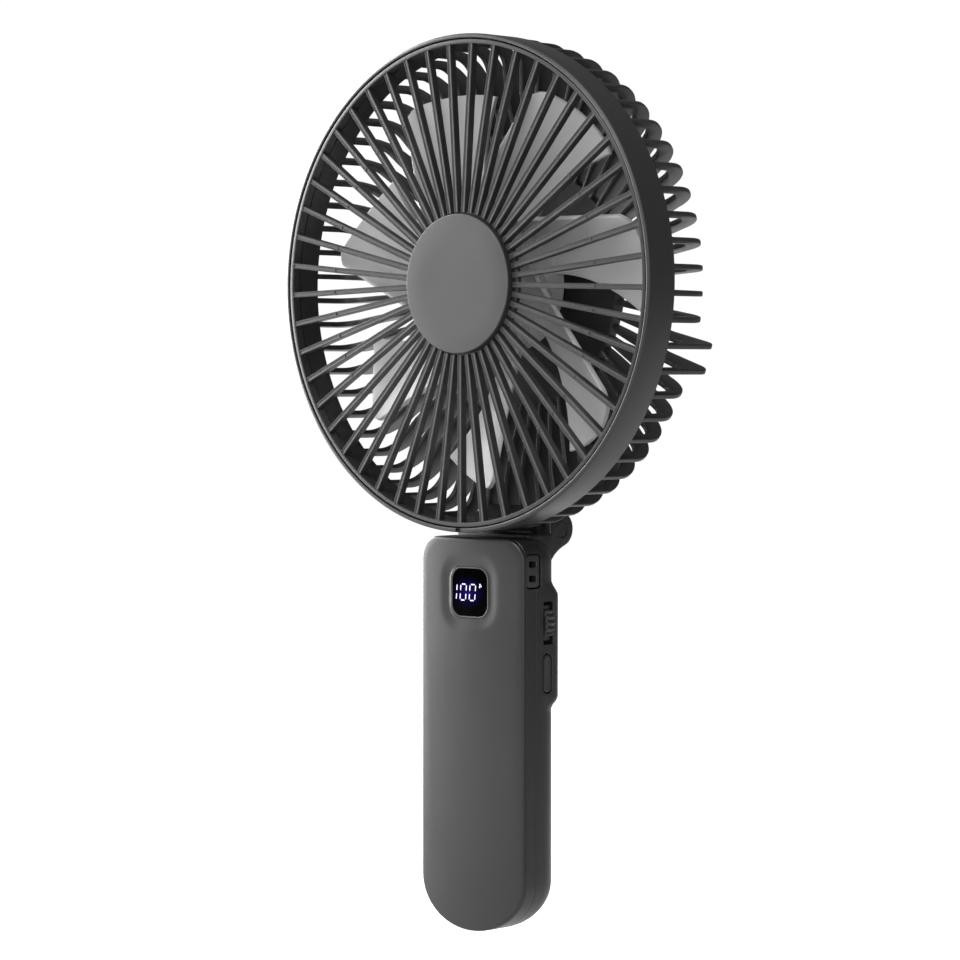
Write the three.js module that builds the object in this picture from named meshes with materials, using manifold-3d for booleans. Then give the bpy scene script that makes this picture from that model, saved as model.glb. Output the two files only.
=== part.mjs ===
// Handheld folding fan: a caged 130 mm fan head on a flat rechargeable grip.
// Millimetres, +Z up along the grip, -Y the side the air blows to, +X the side with the controls.
// Everything is drawn about the fan's own centre, on the plane of the cage's front edge, and the whole
// assembly is then moved so that the part's origin is the middle of the grip's flat back.

import * as THREE from "three";
import { mergeVertices } from "three/addons/utils/BufferGeometryUtils.js";
import Module from "manifold-3d";

const wasm = await Module();
wasm.setup();

// ---- driving dimensions ----
const GAP = 0.3; // clearance between pieces that touch
const STEP = 0.5; // how far a cutter runs past the face it cuts

const HEAD_RADIUS = 65;
const BAND = { inner: 62.5, lipInner: 63.85, lipDepth: 3.3, back: 10, chamfer: 0.6 };
const BARS = { count: 49, width: 1.45, front: 0.3, depth: 2.0, inner: 18.7, outer: 62.9 };
const GRILLE_RING = { inner: 62.2, outer: 63.5, front: 0.15, back: 2.95 };
const GRILLE_HUB = { radius: 19.4, front: 1.5, back: 3.0 };
const CAP = { radius: 18.26, front: -0.77, back: 1.2, chamfer: 0.35 };

const RIBS = { count: 60, thickness: 1.4, outer: 64.7, inner: 62.5, cornerY: 17.9, corner: 9.8, depth: 7 };
const REAR_HUB = { radius: 32, front: 26.3, back: 30.3 };
const FOOT_RIB_DEGREES = [-15, -21, 195, 201]; // the four ribs with a square outer corner
const FOOT = { back: 29.7, round: 3 };

const FAN = { blades: 7, hubRadius: 17.5, hubFront: 4.6, hubBack: 22, wall: 1.4, shaftSkin: 0.6, tip: 54 };
const BLADE = { front: 8, rootPitch: 11, tipPitch: 9.5, thickness: 1.3, chord: 16.6, tipTaper: 4.2 };
const BLADE_DEEP_EDGE = { radius: 20, degrees: 7.1, degreesPerMm: -0.577 };
const BLADE_CORNER = { part: 0.15, trim: 2.7 };

const HINGE = { y: 26.3, z: -64.6, ear: 4.65, lug: 4.3, halfWidth: 12.9, slotHalf: 7.9, slotRoom: 0.9, lugHalf: 6.9 };
const HINGE_CLEAR = 5.2; // radius about the hinge line kept free of ribs, so the ears can turn

const PIN_BORE = 1.8;
const PIN_CAP = { radius: 2.2, seatDepth: 0.9 };

const GRIP = { half: 18.4, front: 4.2, back: 21, top: -66.4, bottom: -170.2, wall: 1.8 };
const GRIP_EDGE = { front: 1.5, back: 8.2, topCorner: 6, endHeight: 13.6 };
const TOP_BACK_ARC = { y: 8.8, z: 6 };
const END_BACK_ARC = { y: 8, z: 9 };
const POD = { front: 12, top: -77, rampTop: 6, bottom: -111.5, rampBottom: 5, rampY: 15.55, edge: 4 };
const PARTING_Y = 9.95;
const ORIGIN_Z = -134;

const DISPLAY = { x: -0.3, z: -80.9, size: 13.4, corner: 3.5, rim: 0.4, depth: 1.9 };
const DISPLAY_HOLLOW = { ledge: 0.25, depth: 0.5, width: 4.2 }; // the shallow hollow round the display
const DISPLAY_MODULE = { half: 7, front: 6.9, back: 9.4 };
const WHEEL = { x: 13.0, y: 14.9, z: -88.55, radius: 6.5, thickness: 3.0, teeth: 24 };
const WHEEL_WINDOW = { y: 3.6, z: 11.1 };
const BUTTON = { y: 14.45, z: -101.8, width: 3.0, length: 9.9, depth: 2.7, travel: 0.4 };
const STRAP = { y: 8.95, z: -74.85, width: 5.2, length: 8.5, depth: 1.7 };
const STRAP_SLOT = { width: 2.7, height: 1.6, offset: 1.85 };
const USB = { y: 12.9, z: -95, width: 3.2, length: 9.0, depth: 7.3, wall: 0.35 };
const BOARD = { front: 9.8, back: 11.0, half: 14.5, top: -72, bottom: -112.4 };
const BOARD_SCREW = { x: 9, z: -109.6, headRadius: 1.9, headHeight: 1.1, shankRadius: 1.0, length: 3.4 };
const CELL = { half: 14, front: 8.2, back: 17.4, top: -114.6, bottom: -155.6 };
const FOAM_PAD = { half: 12, endInset: 3 };
const ENCODER = { near: 9.6, far: 16.2, half: 3.5 }; // x of its two sides, and half its length in z
const CASE_SCREW = { x: 9, z: -160, headRadius: 2.1, headHeight: 1.6, shankRadius: 1.2, length: 8.4 };
const CASE_SCREW_SEAT = 16.8; // y of the floor that the case screws' heads rest over

const MOTOR = { bossRadius: 5.2, bossFront: 22.8, tubeOuter: 3.9, tubeInner: 3.1, tubeFront: 9.4 };
const STATOR = { poles: 6, ring: 6.6, radius: 12.6, front: 12.4, back: 17.6, poleWidth: 2.6 };
const ROTOR = { radius: 15.8, wall: 0.8, front: 6.4, back: 20.6, magnetInner: 13.2 };
const SHAFT = { radius: 1.0, bore: 1.08, back: 25.2 };
const MOTOR_BOARD = { radius: 14.6, front: 21.0, back: 22.2 };
const MOTOR_SCREW = { circle: 10.6, headRadius: 1.9, headHeight: 1.1, shankRadius: 0.8, length: 5.6 };
const BEARING = { front: 9.6, rear: 21, length: 2.2 };
const CLIP = { radius: 2.3, front: 23.9, back: 24.4, gap: 1.4 };

const SIDES = [["left", -1], ["right", 1]];

// ---- finishes ----
const finish = (color, roughness, metalness) => ({ color, roughness, metalness });
const CHARCOAL = finish(0x3c3c3e, 0.62, 0);
const CAGE = finish(0x38383a, 0.6, 0);
const BLADE_GREY = finish(0x8c8c8e, 0.5, 0);
const CAP_GREY = finish(0x5e5e60, 0.55, 0.2);
const BLACK_GLASS = finish(0x050507, 0.08, 0);
const BLACK_PLASTIC = finish(0x1b1b1d, 0.5, 0);
const STEEL = finish(0xa8aaad, 0.3, 1);
const COPPER = finish(0xb66a3a, 0.35, 1);
const BRASS = finish(0xb79a55, 0.35, 1);
const MAGNET = finish(0x4a4642, 0.55, 0.4);
const BOARD_GREEN = finish(0x1f5a3a, 0.5, 0);
const FOIL = finish(0x9aa3ad, 0.4, 0.6);
const FOAM = finish(0x2a2a2c, 0.95, 0);
const RED_WIRE = finish(0xa01818, 0.5, 0);
const BLACK_WIRE = finish(0x141414, 0.5, 0);
const NYLON = finish(0xd8d4c8, 0.5, 0);

// ---- solids ----
// A closed three.js geometry as a solid that can be joined and cut.
function solid(geometry) {
  const bare = geometry.clone();
  bare.deleteAttribute("normal");
  bare.deleteAttribute("uv");
  const merged = mergeVertices(bare, 1e-4);
  const made = new wasm.Manifold(
    new wasm.Mesh({
      numProp: 3,
      vertProperties: new Float32Array(merged.attributes.position.array),
      triVerts: new Uint32Array(merged.index.array),
    }),
  );
  return made;
}

function geometryOf(body) {
  const mesh = body.getMesh();
  const geometry = new THREE.BufferGeometry();
  geometry.setAttribute("position", new THREE.BufferAttribute(mesh.vertProperties, 3));
  geometry.setIndex(new THREE.BufferAttribute(mesh.triVerts, 1));
  geometry.computeVertexNormals();
  return geometry;
}

const joined = (bodies) => bodies.reduce((whole, body) => whole.add(body));

function block(x0, x1, y0, y1, z0, z1) {
  const box = new THREE.BoxGeometry(x1 - x0, y1 - y0, z1 - z0);
  return solid(box.translate((x0 + x1) / 2, (y0 + y1) / 2, (z0 + z1) / 2));
}

// A disc or rod along Y.
function discY(radius, y0, y1, x = 0, z = 0, sides = 32) {
  const rod = new THREE.CylinderGeometry(radius, radius, y1 - y0, sides);
  return solid(rod.translate(x, (y0 + y1) / 2, z));
}

// A disc or rod along X.
function discX(radius, x0, x1, y, z, sides = 32) {
  const rod = new THREE.CylinderGeometry(radius, radius, x1 - x0, sides);
  return solid(rod.rotateZ(Math.PI / 2).translate((x0 + x1) / 2, y, z));
}

// A profile of [radius, y] points turned about the Y axis.
function turned(points, sides) {
  const profile = points.map(([radius, y]) => new THREE.Vector2(radius, y));
  return solid(new THREE.LatheGeometry(profile, sides));
}

// A ring about the Y axis with a rectangular section.
function ringY(inner, outer, y0, y1, sides = 32) {
  const section = [[inner, y0], [outer, y0], [outer, y1], [inner, y1], [inner, y0]];
  return turned(section, sides);
}

function extruded(shape, depth, curveSegments = 6) {
  return new THREE.ExtrudeGeometry(shape, { depth, bevelEnabled: false, curveSegments });
}

// A shape drawn in (x, z), as seen from the front, made solid from y0 to y1.
function alongY(shape, y0, y1, curveSegments) {
  return solid(extruded(shape, y1 - y0, curveSegments).rotateX(Math.PI / 2).translate(0, y1, 0));
}

// A shape drawn in (y, z), as seen from the control side, made solid from x0 to x1.
function alongX(shape, x0, x1, curveSegments) {
  const body = extruded(shape, x1 - x0, curveSegments);
  return solid(body.rotateX(Math.PI / 2).rotateZ(Math.PI / 2).translate(x0, 0, 0));
}

// A shape drawn in (x, y), as seen from above, made solid from z0 to z1.
function alongZ(shape, z0, z1, curveSegments) {
  return solid(extruded(shape, z1 - z0, curveSegments).translate(0, 0, z0));
}

function polygon(points) {
  return new THREE.Shape(points.map(([a, b]) => new THREE.Vector2(a, b)));
}

function roundedRect(a0, a1, b0, b1, radius) {
  const shape = new THREE.Shape();
  shape.moveTo(a0 + radius, b0);
  shape.absarc(a1 - radius, b0 + radius, radius, -Math.PI / 2, 0);
  shape.absarc(a1 - radius, b1 - radius, radius, 0, Math.PI / 2);
  shape.absarc(a0 + radius, b1 - radius, radius, Math.PI / 2, Math.PI);
  shape.absarc(a0 + radius, b0 + radius, radius, Math.PI, 1.5 * Math.PI);
  return shape;
}

// Turns a geometry built along +X to an angle counted anticlockwise as seen from the front.
const aroundY = (geometry, degrees) => geometry.rotateY(THREE.MathUtils.degToRad(-degrees));

// ---- scene graph ----
const assembly = new THREE.Group();
assembly.position.set(0, -GRIP.back, -ORIGIN_Z);
const grip = new THREE.Group();
const head = new THREE.Group();
const fan = new THREE.Group();
head.add(fan);
assembly.add(grip, head);

function piece(group, name, geometry, look, x = 0, y = 0, z = 0) {
  const mesh = new THREE.Mesh(geometry, new THREE.MeshStandardMaterial(look));
  mesh.name = name;
  mesh.position.set(x, y, z);
  group.add(mesh);
  return mesh;
}

// ---- fan head ----
function frontGrille() {
  const { inner, outer, front, back } = GRILLE_RING;
  const hub = discY(GRILLE_HUB.radius, GRILLE_HUB.front, GRILLE_HUB.back, 0, 0, BARS.count);
  const length = BARS.outer - BARS.inner;
  const bars = Array.from({ length: BARS.count }, (_, i) => {
    const bar = new THREE.BoxGeometry(length, BARS.depth, BARS.width);
    bar.translate(BARS.inner + length / 2, BARS.front + BARS.depth / 2, 0);
    return solid(aroundY(bar, -90 + (360 / BARS.count) * i));
  });
  return geometryOf(joined([ringY(inner, outer, front, back, BARS.count), hub, ...bars]));
}

function hubCap() {
  const { radius, front, back, chamfer } = CAP;
  const rim = [[radius - chamfer, front], [radius, front + chamfer], [radius, back]];
  const profile = [[0, front], ...rim, [0, back]];
  return geometryOf(turned(profile, 48));
}

// Depth of the cage's domed back at a radius inside its rounded corner.
function domeBack(radius) {
  const edge = RIBS.outer - RIBS.corner;
  const cornerBack = RIBS.cornerY + RIBS.corner;
  const inward = (edge - radius) / (edge - REAR_HUB.radius);
  return cornerBack + (REAR_HUB.back - cornerBack) * Math.sin((inward * Math.PI) / 2);
}

// One rib of the cage's bowl as a flat plate: [radius, y] points, out and back.
function ribShape(isFoot) {
  const edge = RIBS.outer - RIBS.corner;
  const shape = new THREE.Shape();
  shape.moveTo(RIBS.inner, BAND.back - 1);
  shape.lineTo(RIBS.outer, BAND.back - 1);
  if (isFoot) {
    shape.lineTo(RIBS.outer, FOOT.back - FOOT.round);
    shape.absarc(RIBS.outer - FOOT.round, FOOT.back - FOOT.round, FOOT.round, 0, Math.PI / 2);
  } else {
    shape.absarc(edge, RIBS.cornerY, RIBS.corner, 0, Math.PI / 2);
  }
  const mid = (REAR_HUB.radius + edge) / 2;
  shape.lineTo(mid, domeBack(mid));
  shape.lineTo(REAR_HUB.radius - 1, REAR_HUB.back - 0.2);
  shape.lineTo(REAR_HUB.radius - 1, REAR_HUB.front + 0.2);
  shape.lineTo(edge - 4, RIBS.cornerY + RIBS.corner - RIBS.depth + 0.6);
  const inset = RIBS.corner - RIBS.depth + 2;
  shape.absarc(RIBS.inner - inset, RIBS.cornerY - 1.8, inset, Math.PI / 2, 0, true);
  return shape;
}

function hingeLug() {
  const { y, z, lug, lugHalf } = HINGE;
  const arm = polygon([[y, z - lug + 1.2], [y, z + lug], [20, -58.2], [9, -61.5], [9, -64.3], [20, -65.1]]);
  return joined([alongX(arm, -lugHalf, lugHalf), discX(lug, -lugHalf, lugHalf, y, z, 24)]);
}

function rearGrille() {
  const { inner, lipInner, lipDepth, back, chamfer } = BAND;
  const section = [
    [lipInner, 0],
    [HEAD_RADIUS - chamfer, 0],
    [HEAD_RADIUS, chamfer],
    [HEAD_RADIUS, back],
    [inner, back],
    [inner, lipDepth],
    [lipInner, lipDepth],
    [lipInner, 0],
  ];
  const band = turned(section, RIBS.count);
  const feet = FOOT_RIB_DEGREES.map((degrees) => (degrees + 360) % 360);
  const ribs = Array.from({ length: RIBS.count }, (_, i) => {
    const degrees = 3 + (360 / RIBS.count) * i;
    const plate = extruded(ribShape(feet.includes(degrees)), RIBS.thickness, 3);
    return solid(aroundY(plate.translate(0, 0, -RIBS.thickness / 2), degrees));
  });
  const hub = discY(REAR_HUB.radius, REAR_HUB.front, REAR_HUB.back, 0, 0, 60);
  const boss = discY(MOTOR.bossRadius, MOTOR.bossFront, REAR_HUB.front + STEP, 0, 0, 24);
  const { y, z, halfWidth, lugHalf } = HINGE;
  const earRoom = [-1, 1].map((side) => {
    const near = side * lugHalf;
    const far = side * (halfWidth + 0.6);
    return discX(HINGE_CLEAR, Math.min(near, far), Math.max(near, far), y, z, 24);
  });
  const bore = discX(PIN_BORE, -halfWidth, halfWidth, y, z, 16);
  const bearingSeat = discY(MOTOR.tubeOuter + GAP, MOTOR.bossFront - STEP, REAR_HUB.front + 1, 0, 0, 24);
  let cage = joined([band, hub, boss, ...ribs]);
  earRoom.forEach((room) => (cage = cage.subtract(room)));
  cage = cage.add(hingeLug()).subtract(bore).subtract(bearingSeat);
  motorScrewPlaces().forEach(([x, screwZ]) => {
    cage = cage.subtract(discY(0.9, REAR_HUB.front - STEP, REAR_HUB.front + 2.2, x, screwZ, 12));
  });
  return geometryOf(cage);
}

// Three screws hold the motor's board and bracket to posts on the cage's hub.
function motorScrewPlaces() {
  return [90, 210, 330].map((degrees) => {
    const angle = THREE.MathUtils.degToRad(degrees);
    return [MOTOR_SCREW.circle * Math.cos(angle), MOTOR_SCREW.circle * Math.sin(angle)];
  });
}

// ---- motor ----
function bearingTube() {
  return geometryOf(ringY(MOTOR.tubeInner, MOTOR.tubeOuter, MOTOR.tubeFront, REAR_HUB.front + 0.6, 24));
}

function bearing(y0) {
  return geometryOf(ringY(SHAFT.bore, MOTOR.tubeInner - GAP, y0, y0 + BEARING.length, 24));
}

function statorCore() {
  const ring = ringY(MOTOR.tubeOuter + GAP, STATOR.ring, STATOR.front, STATOR.back, 24);
  const poles = Array.from({ length: STATOR.poles }, (_, i) => {
    const neck = new THREE.BoxGeometry(6.2, STATOR.back - STATOR.front, STATOR.poleWidth);
    neck.translate(STATOR.ring + 2.4, (STATOR.front + STATOR.back) / 2, 0);
    const shoe = new THREE.Shape();
    const span = 0.36;
    shoe.absarc(0, 0, STATOR.radius, -span, span);
    shoe.absarc(0, 0, STATOR.radius - 1.3, span, -span, true);
    const face = extruded(shoe, STATOR.back - STATOR.front, 4).rotateX(-Math.PI / 2);
    face.translate(0, STATOR.front, 0);
    const degrees = (360 / STATOR.poles) * i;
    return joined([solid(aroundY(neck, degrees)), solid(aroundY(face, degrees))]);
  });
  return geometryOf(joined([ring, ...poles]));
}

// A winding round one pole: a square loop with the pole's neck through it.
function coil() {
  const wrap = 1.1;
  const along = 3.6;
  const middle = STATOR.ring + 2.4;
  const halfNeck = STATOR.poleWidth / 2 + GAP;
  const y0 = STATOR.front - GAP;
  const y1 = STATOR.back + GAP;
  const far = halfNeck + wrap;
  const outer = block(middle - along / 2, middle + along / 2, y0 - wrap, y1 + wrap, -far, far);
  const hole = block(middle - along, middle + along, y0, y1, -halfNeck, halfNeck);
  return geometryOf(outer.subtract(hole));
}

function motorBoard() {
  let board = ringY(MOTOR.bossRadius + GAP, MOTOR_BOARD.radius, MOTOR_BOARD.front, MOTOR_BOARD.back, 32);
  motorScrewPlaces().forEach(([x, z]) => {
    board = board.subtract(discY(1.1, MOTOR_BOARD.front - STEP, MOTOR_BOARD.back + STEP, x, z, 16));
  });
  return geometryOf(board);
}

// A spacer post between the motor's board and the cage's hub, with a clearance bore for its screw.
function motorPost() {
  return geometryOf(ringY(1.1, 2.2, MOTOR_BOARD.back + GAP, REAR_HUB.front - GAP, 12));
}

// Head and shank in one, along Y, with the underside of the head at y = 0 and the shank pointing to `way`.
function screw({ headRadius, headHeight, shankRadius, length }, way) {
  const between = (radius, a, b, sides) => discY(radius, Math.min(a, b), Math.max(a, b), 0, 0, sides);
  const headDisc = between(headRadius, 0, -way * headHeight, 12);
  const shank = between(shankRadius, -way * 0.2, way * length, 8);
  return geometryOf(headDisc.add(shank));
}

// ---- fan rotor ----
// A thin box bent into a swept blade: u runs out from the hub, v round from the front edge to the deep one.
// The front edge is a straight chord that passes the axis at BLADE.chord.
function bladeSolid(degrees) {
  const blade = new THREE.BoxGeometry(1, 1, 1, 4, 1, 6);
  const position = blade.attributes.position;
  for (let i = 0; i < position.count; i++) {
    const u = position.getX(i) + 0.5;
    const side = position.getY(i);
    const v = 0.5 - position.getZ(i);
    const corner = BLADE_CORNER.trim * Math.max(0, 1 - v / BLADE_CORNER.part) ** 2;
    const tip = FAN.tip - BLADE.tipTaper * v ** 1.5 - corner;
    const radius = THREE.MathUtils.lerp(FAN.hubRadius - 0.7, tip, u);
    const frontEdge = THREE.MathUtils.radToDeg(Math.asin(BLADE.chord / radius));
    const outwards = radius - BLADE_DEEP_EDGE.radius;
    const deepEdge = BLADE_DEEP_EDGE.degrees + BLADE_DEEP_EDGE.degreesPerMm * outwards;
    const angle = THREE.MathUtils.degToRad(degrees + THREE.MathUtils.lerp(frontEdge, deepEdge, v));
    const pitch = THREE.MathUtils.lerp(BLADE.rootPitch, BLADE.tipPitch, u);
    const y = BLADE.front + pitch * (1 - (1 - v) ** 2) + side * BLADE.thickness;
    position.setXYZ(i, radius * Math.cos(angle), y, radius * Math.sin(angle));
  }
  return solid(blade);
}

function impeller() {
  const { hubRadius, hubFront, hubBack, wall } = FAN;
  const cup = [
    [0, hubFront],
    [hubRadius - 1.2, hubFront],
    [hubRadius, hubFront + 1.2],
    [hubRadius, hubBack],
    [hubRadius - wall, hubBack],
    [hubRadius - wall, hubFront + wall],
    [0, hubFront + wall],
  ];
  const pitchDegrees = 360 / FAN.blades;
  const blades = Array.from({ length: FAN.blades }, (_, i) => bladeSolid(pitchDegrees * i));
  const shell = turned(cup, 56);
  const bore = discY(FAN.hubRadius - wall - 0.02, hubFront + wall, hubBack + STEP, 0, 0, 56);
  const shaftHole = discY(SHAFT.radius + GAP, hubFront + FAN.shaftSkin, hubBack, 0, 0, 16);
  return geometryOf(joined([shell, ...blades]).subtract(bore).subtract(shaftHole));
}

function rotorCan() {
  const { radius, wall, front, back } = ROTOR;
  const section = [
    [SHAFT.radius + GAP, front],
    [radius, front],
    [radius, back],
    [radius - wall, back],
    [radius - wall, front + wall],
    [SHAFT.radius + GAP, front + wall],
    [SHAFT.radius + GAP, front],
  ];
  return geometryOf(turned(section, 36));
}

function magnetRing() {
  const outer = ROTOR.radius - ROTOR.wall - GAP;
  return geometryOf(ringY(ROTOR.magnetInner, outer, STATOR.front - 1, STATOR.back + 1, 36));
}

// The shaft starts just behind the skin of the impeller's hub.
function motorShaft() {
  return geometryOf(discY(SHAFT.radius, FAN.hubFront + FAN.shaftSkin + GAP, SHAFT.back, 0, 0, 24));
}

function shaftClip() {
  const { radius, front, back, gap } = CLIP;
  const ring = ringY(SHAFT.bore, radius, front, back, 24);
  const split = block(0, radius + STEP, front - STEP, back + STEP, -gap / 2, gap / 2);
  return geometryOf(ring.subtract(split));
}

// ---- grip ----
// The grip's outer form, or its inner form when inset: a section, a front outline and a side outline.
function gripForm(inset) {
  const half = GRIP.half - inset;
  const front = GRIP.front + inset;
  const back = GRIP.back - inset;
  const top = GRIP.top - inset;
  const bottom = GRIP.bottom + inset;
  const section = (edge) => {
    const frontEdge = Math.max(GRIP_EDGE.front - inset, 0.3);
    const backEdge = Math.max(edge - inset, 0.5);
    const shape = new THREE.Shape();
    shape.absarc(-half + frontEdge, front + frontEdge, frontEdge, Math.PI, 1.5 * Math.PI);
    shape.absarc(half - frontEdge, front + frontEdge, frontEdge, 1.5 * Math.PI, 2 * Math.PI);
    shape.absarc(half - backEdge, back - backEdge, backEdge, 0, Math.PI / 2);
    shape.absarc(-half + backEdge, back - backEdge, backEdge, Math.PI / 2, Math.PI);
    return shape;
  };
  const face = new THREE.Shape();
  const corner = GRIP_EDGE.topCorner - inset;
  const endHeight = GRIP_EDGE.endHeight - inset;
  face.moveTo(half, top - corner);
  face.absarc(half - corner, top - corner, corner, 0, Math.PI / 2);
  face.absarc(-half + corner, top - corner, corner, Math.PI / 2, Math.PI);
  face.absellipse(0, bottom + endHeight, half, endHeight, Math.PI, 2 * Math.PI);
  const side = new THREE.Shape();
  const [end, crown] = [END_BACK_ARC, TOP_BACK_ARC];
  side.absellipse(back - end.y, bottom + end.z, end.y, end.z, -Math.PI / 2, 0);
  side.absellipse(back - crown.y, top - crown.z, crown.y, crown.z, 0, Math.PI / 2);
  side.lineTo(front, top);
  side.lineTo(front, bottom);
  const main = alongZ(section(GRIP_EDGE.back), bottom, top, 5);
  const faced = main.intersect(alongY(face, front, back, 7)).intersect(alongX(side, -half, half, 5));
  const ramps = polygon([
    [POD.front, POD.top - inset],
    [POD.rampY, POD.top - inset],
    [back, POD.top - POD.rampTop],
    [back, POD.bottom + POD.rampBottom],
    [POD.rampY, POD.bottom + inset],
    [POD.front, POD.bottom + inset],
  ]);
  const pod = alongZ(section(POD.edge), POD.bottom, POD.top, 3).intersect(alongX(ramps, -half, half));
  return faced.add(pod);
}

// The neck behind the grip's top, with the two ears that hold the hinge pin.
function hingeNeck() {
  const { y, z, ear, halfWidth, slotHalf, slotRoom } = HINGE;
  const outline = new THREE.Shape();
  outline.moveTo(13, -75.5);
  outline.lineTo(13, -65.8);
  outline.lineTo(y - 4, -65.8);
  outline.lineTo(y, z);
  outline.lineTo(y + 0.9, z - 4.5);
  outline.quadraticCurveTo(23.2, -71, 21.9, -73.6);
  outline.lineTo(20.6, -76);
  const neck = alongX(outline, -halfWidth, halfWidth, 4).add(discX(ear, -halfWidth, halfWidth, y, z, 28));
  return neck.subtract(discX(ear + slotRoom, -slotHalf, slotHalf, y, z, 28));
}

function shellParts() {
  const outer = gripForm(0);
  const hollow = gripForm(GRIP.wall);
  const past = GRIP.half + 5;
  const frontHalf = block(-past, past, 0, PARTING_Y - GAP / 2, GRIP.bottom - 5, GRIP.top + 5);
  const rearHalf = block(-past, past, PARTING_Y + GAP / 2, 40, GRIP.bottom - 5, GRIP.top + 10);
  return { walls: outer.subtract(hollow), hollow, frontHalf, rearHalf };
}

// A bore or boss along Y at one of the grip's screws, to the left (-1) or right (1).
function atScrew(place, side, radius, y0, y1, sides = 12) {
  return discY(radius, y0, y1, side * place.x, place.z, sides);
}

// The opening in the grip's side that takes the strap frame, shared by both shells.
function strapPocket() {
  const half = STRAP.width / 2 + GAP;
  const tall = STRAP.length / 2 + GAP;
  const hole = roundedRect(STRAP.y - half, STRAP.y + half, STRAP.z - tall, STRAP.z + tall, 1.2);
  return alongX(hole, GRIP.half - 3, GRIP.half + 1);
}

// The display's outline as seen from the front, pulled in by inset.
function displayOutline(inset) {
  const { x, z, size, corner } = DISPLAY;
  const half = size / 2 - inset;
  return roundedRect(x - half, x + half, z - half, z + half, corner - Math.max(inset, 0));
}

// A cutter that widens from a ledge round the display to the grip's face, and runs on past the face.
function displayHollow() {
  const { ledge, depth, width } = DISPLAY_HOLLOW;
  const opening = displayOutline(-GAP - ledge);
  const slopes = { bevelThickness: depth, bevelSize: width, bevelSegments: 1 };
  const cutter = new THREE.ExtrudeGeometry(opening, { depth: STEP, curveSegments: 5, ...slopes });
  return solid(cutter.rotateX(Math.PI / 2).translate(0, GRIP.front, 0));
}

function frontShell({ walls, frontHalf }) {
  const hole = alongY(displayOutline(-GAP), GRIP.front - 1, GRIP.front + 3, 5);
  let shell = walls.intersect(frontHalf).subtract(displayHollow()).subtract(hole);
  const inside = GRIP.front + GRIP.wall - 0.2;
  for (const side of [-1, 1]) {
    shell = shell.add(atScrew(BOARD_SCREW, side, 2.3, inside, BOARD.front - GAP));
    shell = shell.add(atScrew(CASE_SCREW, side, 3.0, inside, PARTING_Y - GAP));
  }
  for (const side of [-1, 1]) {
    for (const place of [BOARD_SCREW, CASE_SCREW]) {
      shell = shell.subtract(atScrew(place, side, place.shankRadius + GAP, inside + 1, PARTING_Y));
    }
  }
  return geometryOf(shell.subtract(strapPocket()));
}

function rearShell({ walls, hollow, rearHalf }) {
  const neck = hingeNeck().subtract(hollow).intersect(rearHalf);
  const { y, z, halfWidth } = HINGE;
  let shell = walls.intersect(rearHalf).add(neck);
  for (const side of [-1, 1]) {
    shell = shell.add(atScrew(CASE_SCREW, side, 3.4, PARTING_Y + GAP, GRIP.back - 1));
  }
  for (const side of [-1, 1]) {
    const bore = atScrew(CASE_SCREW, side, CASE_SCREW.shankRadius + GAP, PARTING_Y, GRIP.back);
    const sunkFront = CASE_SCREW_SEAT - GAP;
    const sunk = atScrew(CASE_SCREW, side, CASE_SCREW.headRadius + GAP, sunkFront, GRIP.back + 1, 16);
    const [inner, outer] = [side * (halfWidth - PIN_CAP.seatDepth), side * (halfWidth + 1)];
    const capSeat = discX(PIN_CAP.radius + GAP, Math.min(inner, outer), Math.max(inner, outer), y, z, 20);
    shell = shell.subtract(bore).subtract(sunk).subtract(capSeat);
  }
  shell = shell.subtract(discX(PIN_BORE, -halfWidth - 1, halfWidth + 1, y, z, 16));
  const openings = [wheelOpening(), buttonOpening(), usbOpening(), strapPocket()];
  openings.forEach((opening) => (shell = shell.subtract(opening)));
  return geometryOf(shell);
}

// A rounded cutter through the control side's wall, centred on a control.
function sideOpening(place, halfWide, halfLong, corner) {
  const { y, z } = place;
  const shape = roundedRect(y - halfWide, y + halfWide, z - halfLong, z + halfLong, corner);
  return alongX(shape, GRIP.half - 3, GRIP.half + 1, 5);
}

const wheelOpening = () => sideOpening(WHEEL, WHEEL_WINDOW.y / 2, WHEEL_WINDOW.z / 2, 0.5);

function buttonOpening() {
  const halfWide = BUTTON.width / 2 + GAP;
  return sideOpening(BUTTON, halfWide, BUTTON.length / 2 + GAP, halfWide - 0.1);
}

function usbOpening() {
  const halfWide = USB.width / 2 + GAP;
  const halfLong = USB.length / 2 + GAP;
  const shape = roundedRect(USB.y - halfWide, USB.y + halfWide, USB.z - halfLong, USB.z + halfLong, 1.6);
  return alongX(shape, -GRIP.half - 1, -GRIP.half + 3);
}

function displayBezel() {
  const front = GRIP.front + DISPLAY_HOLLOW.depth;
  const rim = alongY(displayOutline(0), front, front + DISPLAY.depth, 5);
  return geometryOf(rim.subtract(alongY(displayOutline(DISPLAY.rim), front - 1, front + 3, 5)));
}

function displayWindow() {
  const front = GRIP.front + DISPLAY_HOLLOW.depth + 0.15;
  return geometryOf(alongY(displayOutline(DISPLAY.rim + GAP), front, front + 1.05, 5));
}

function displayModule() {
  const { half, front, back } = DISPLAY_MODULE;
  const { x, z } = DISPLAY;
  return geometryOf(block(x - half, x + half, front, back, z - half, z + half));
}

function circuitBoard() {
  let board = block(-BOARD.half, BOARD.half, BOARD.front, BOARD.back, BOARD.bottom, BOARD.top);
  for (const side of [-1, 1]) {
    board = board.subtract(
      atScrew(BOARD_SCREW, side, BOARD_SCREW.shankRadius + GAP, BOARD.front - 1, BOARD.back + 1),
    );
  }
  return geometryOf(board);
}

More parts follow.
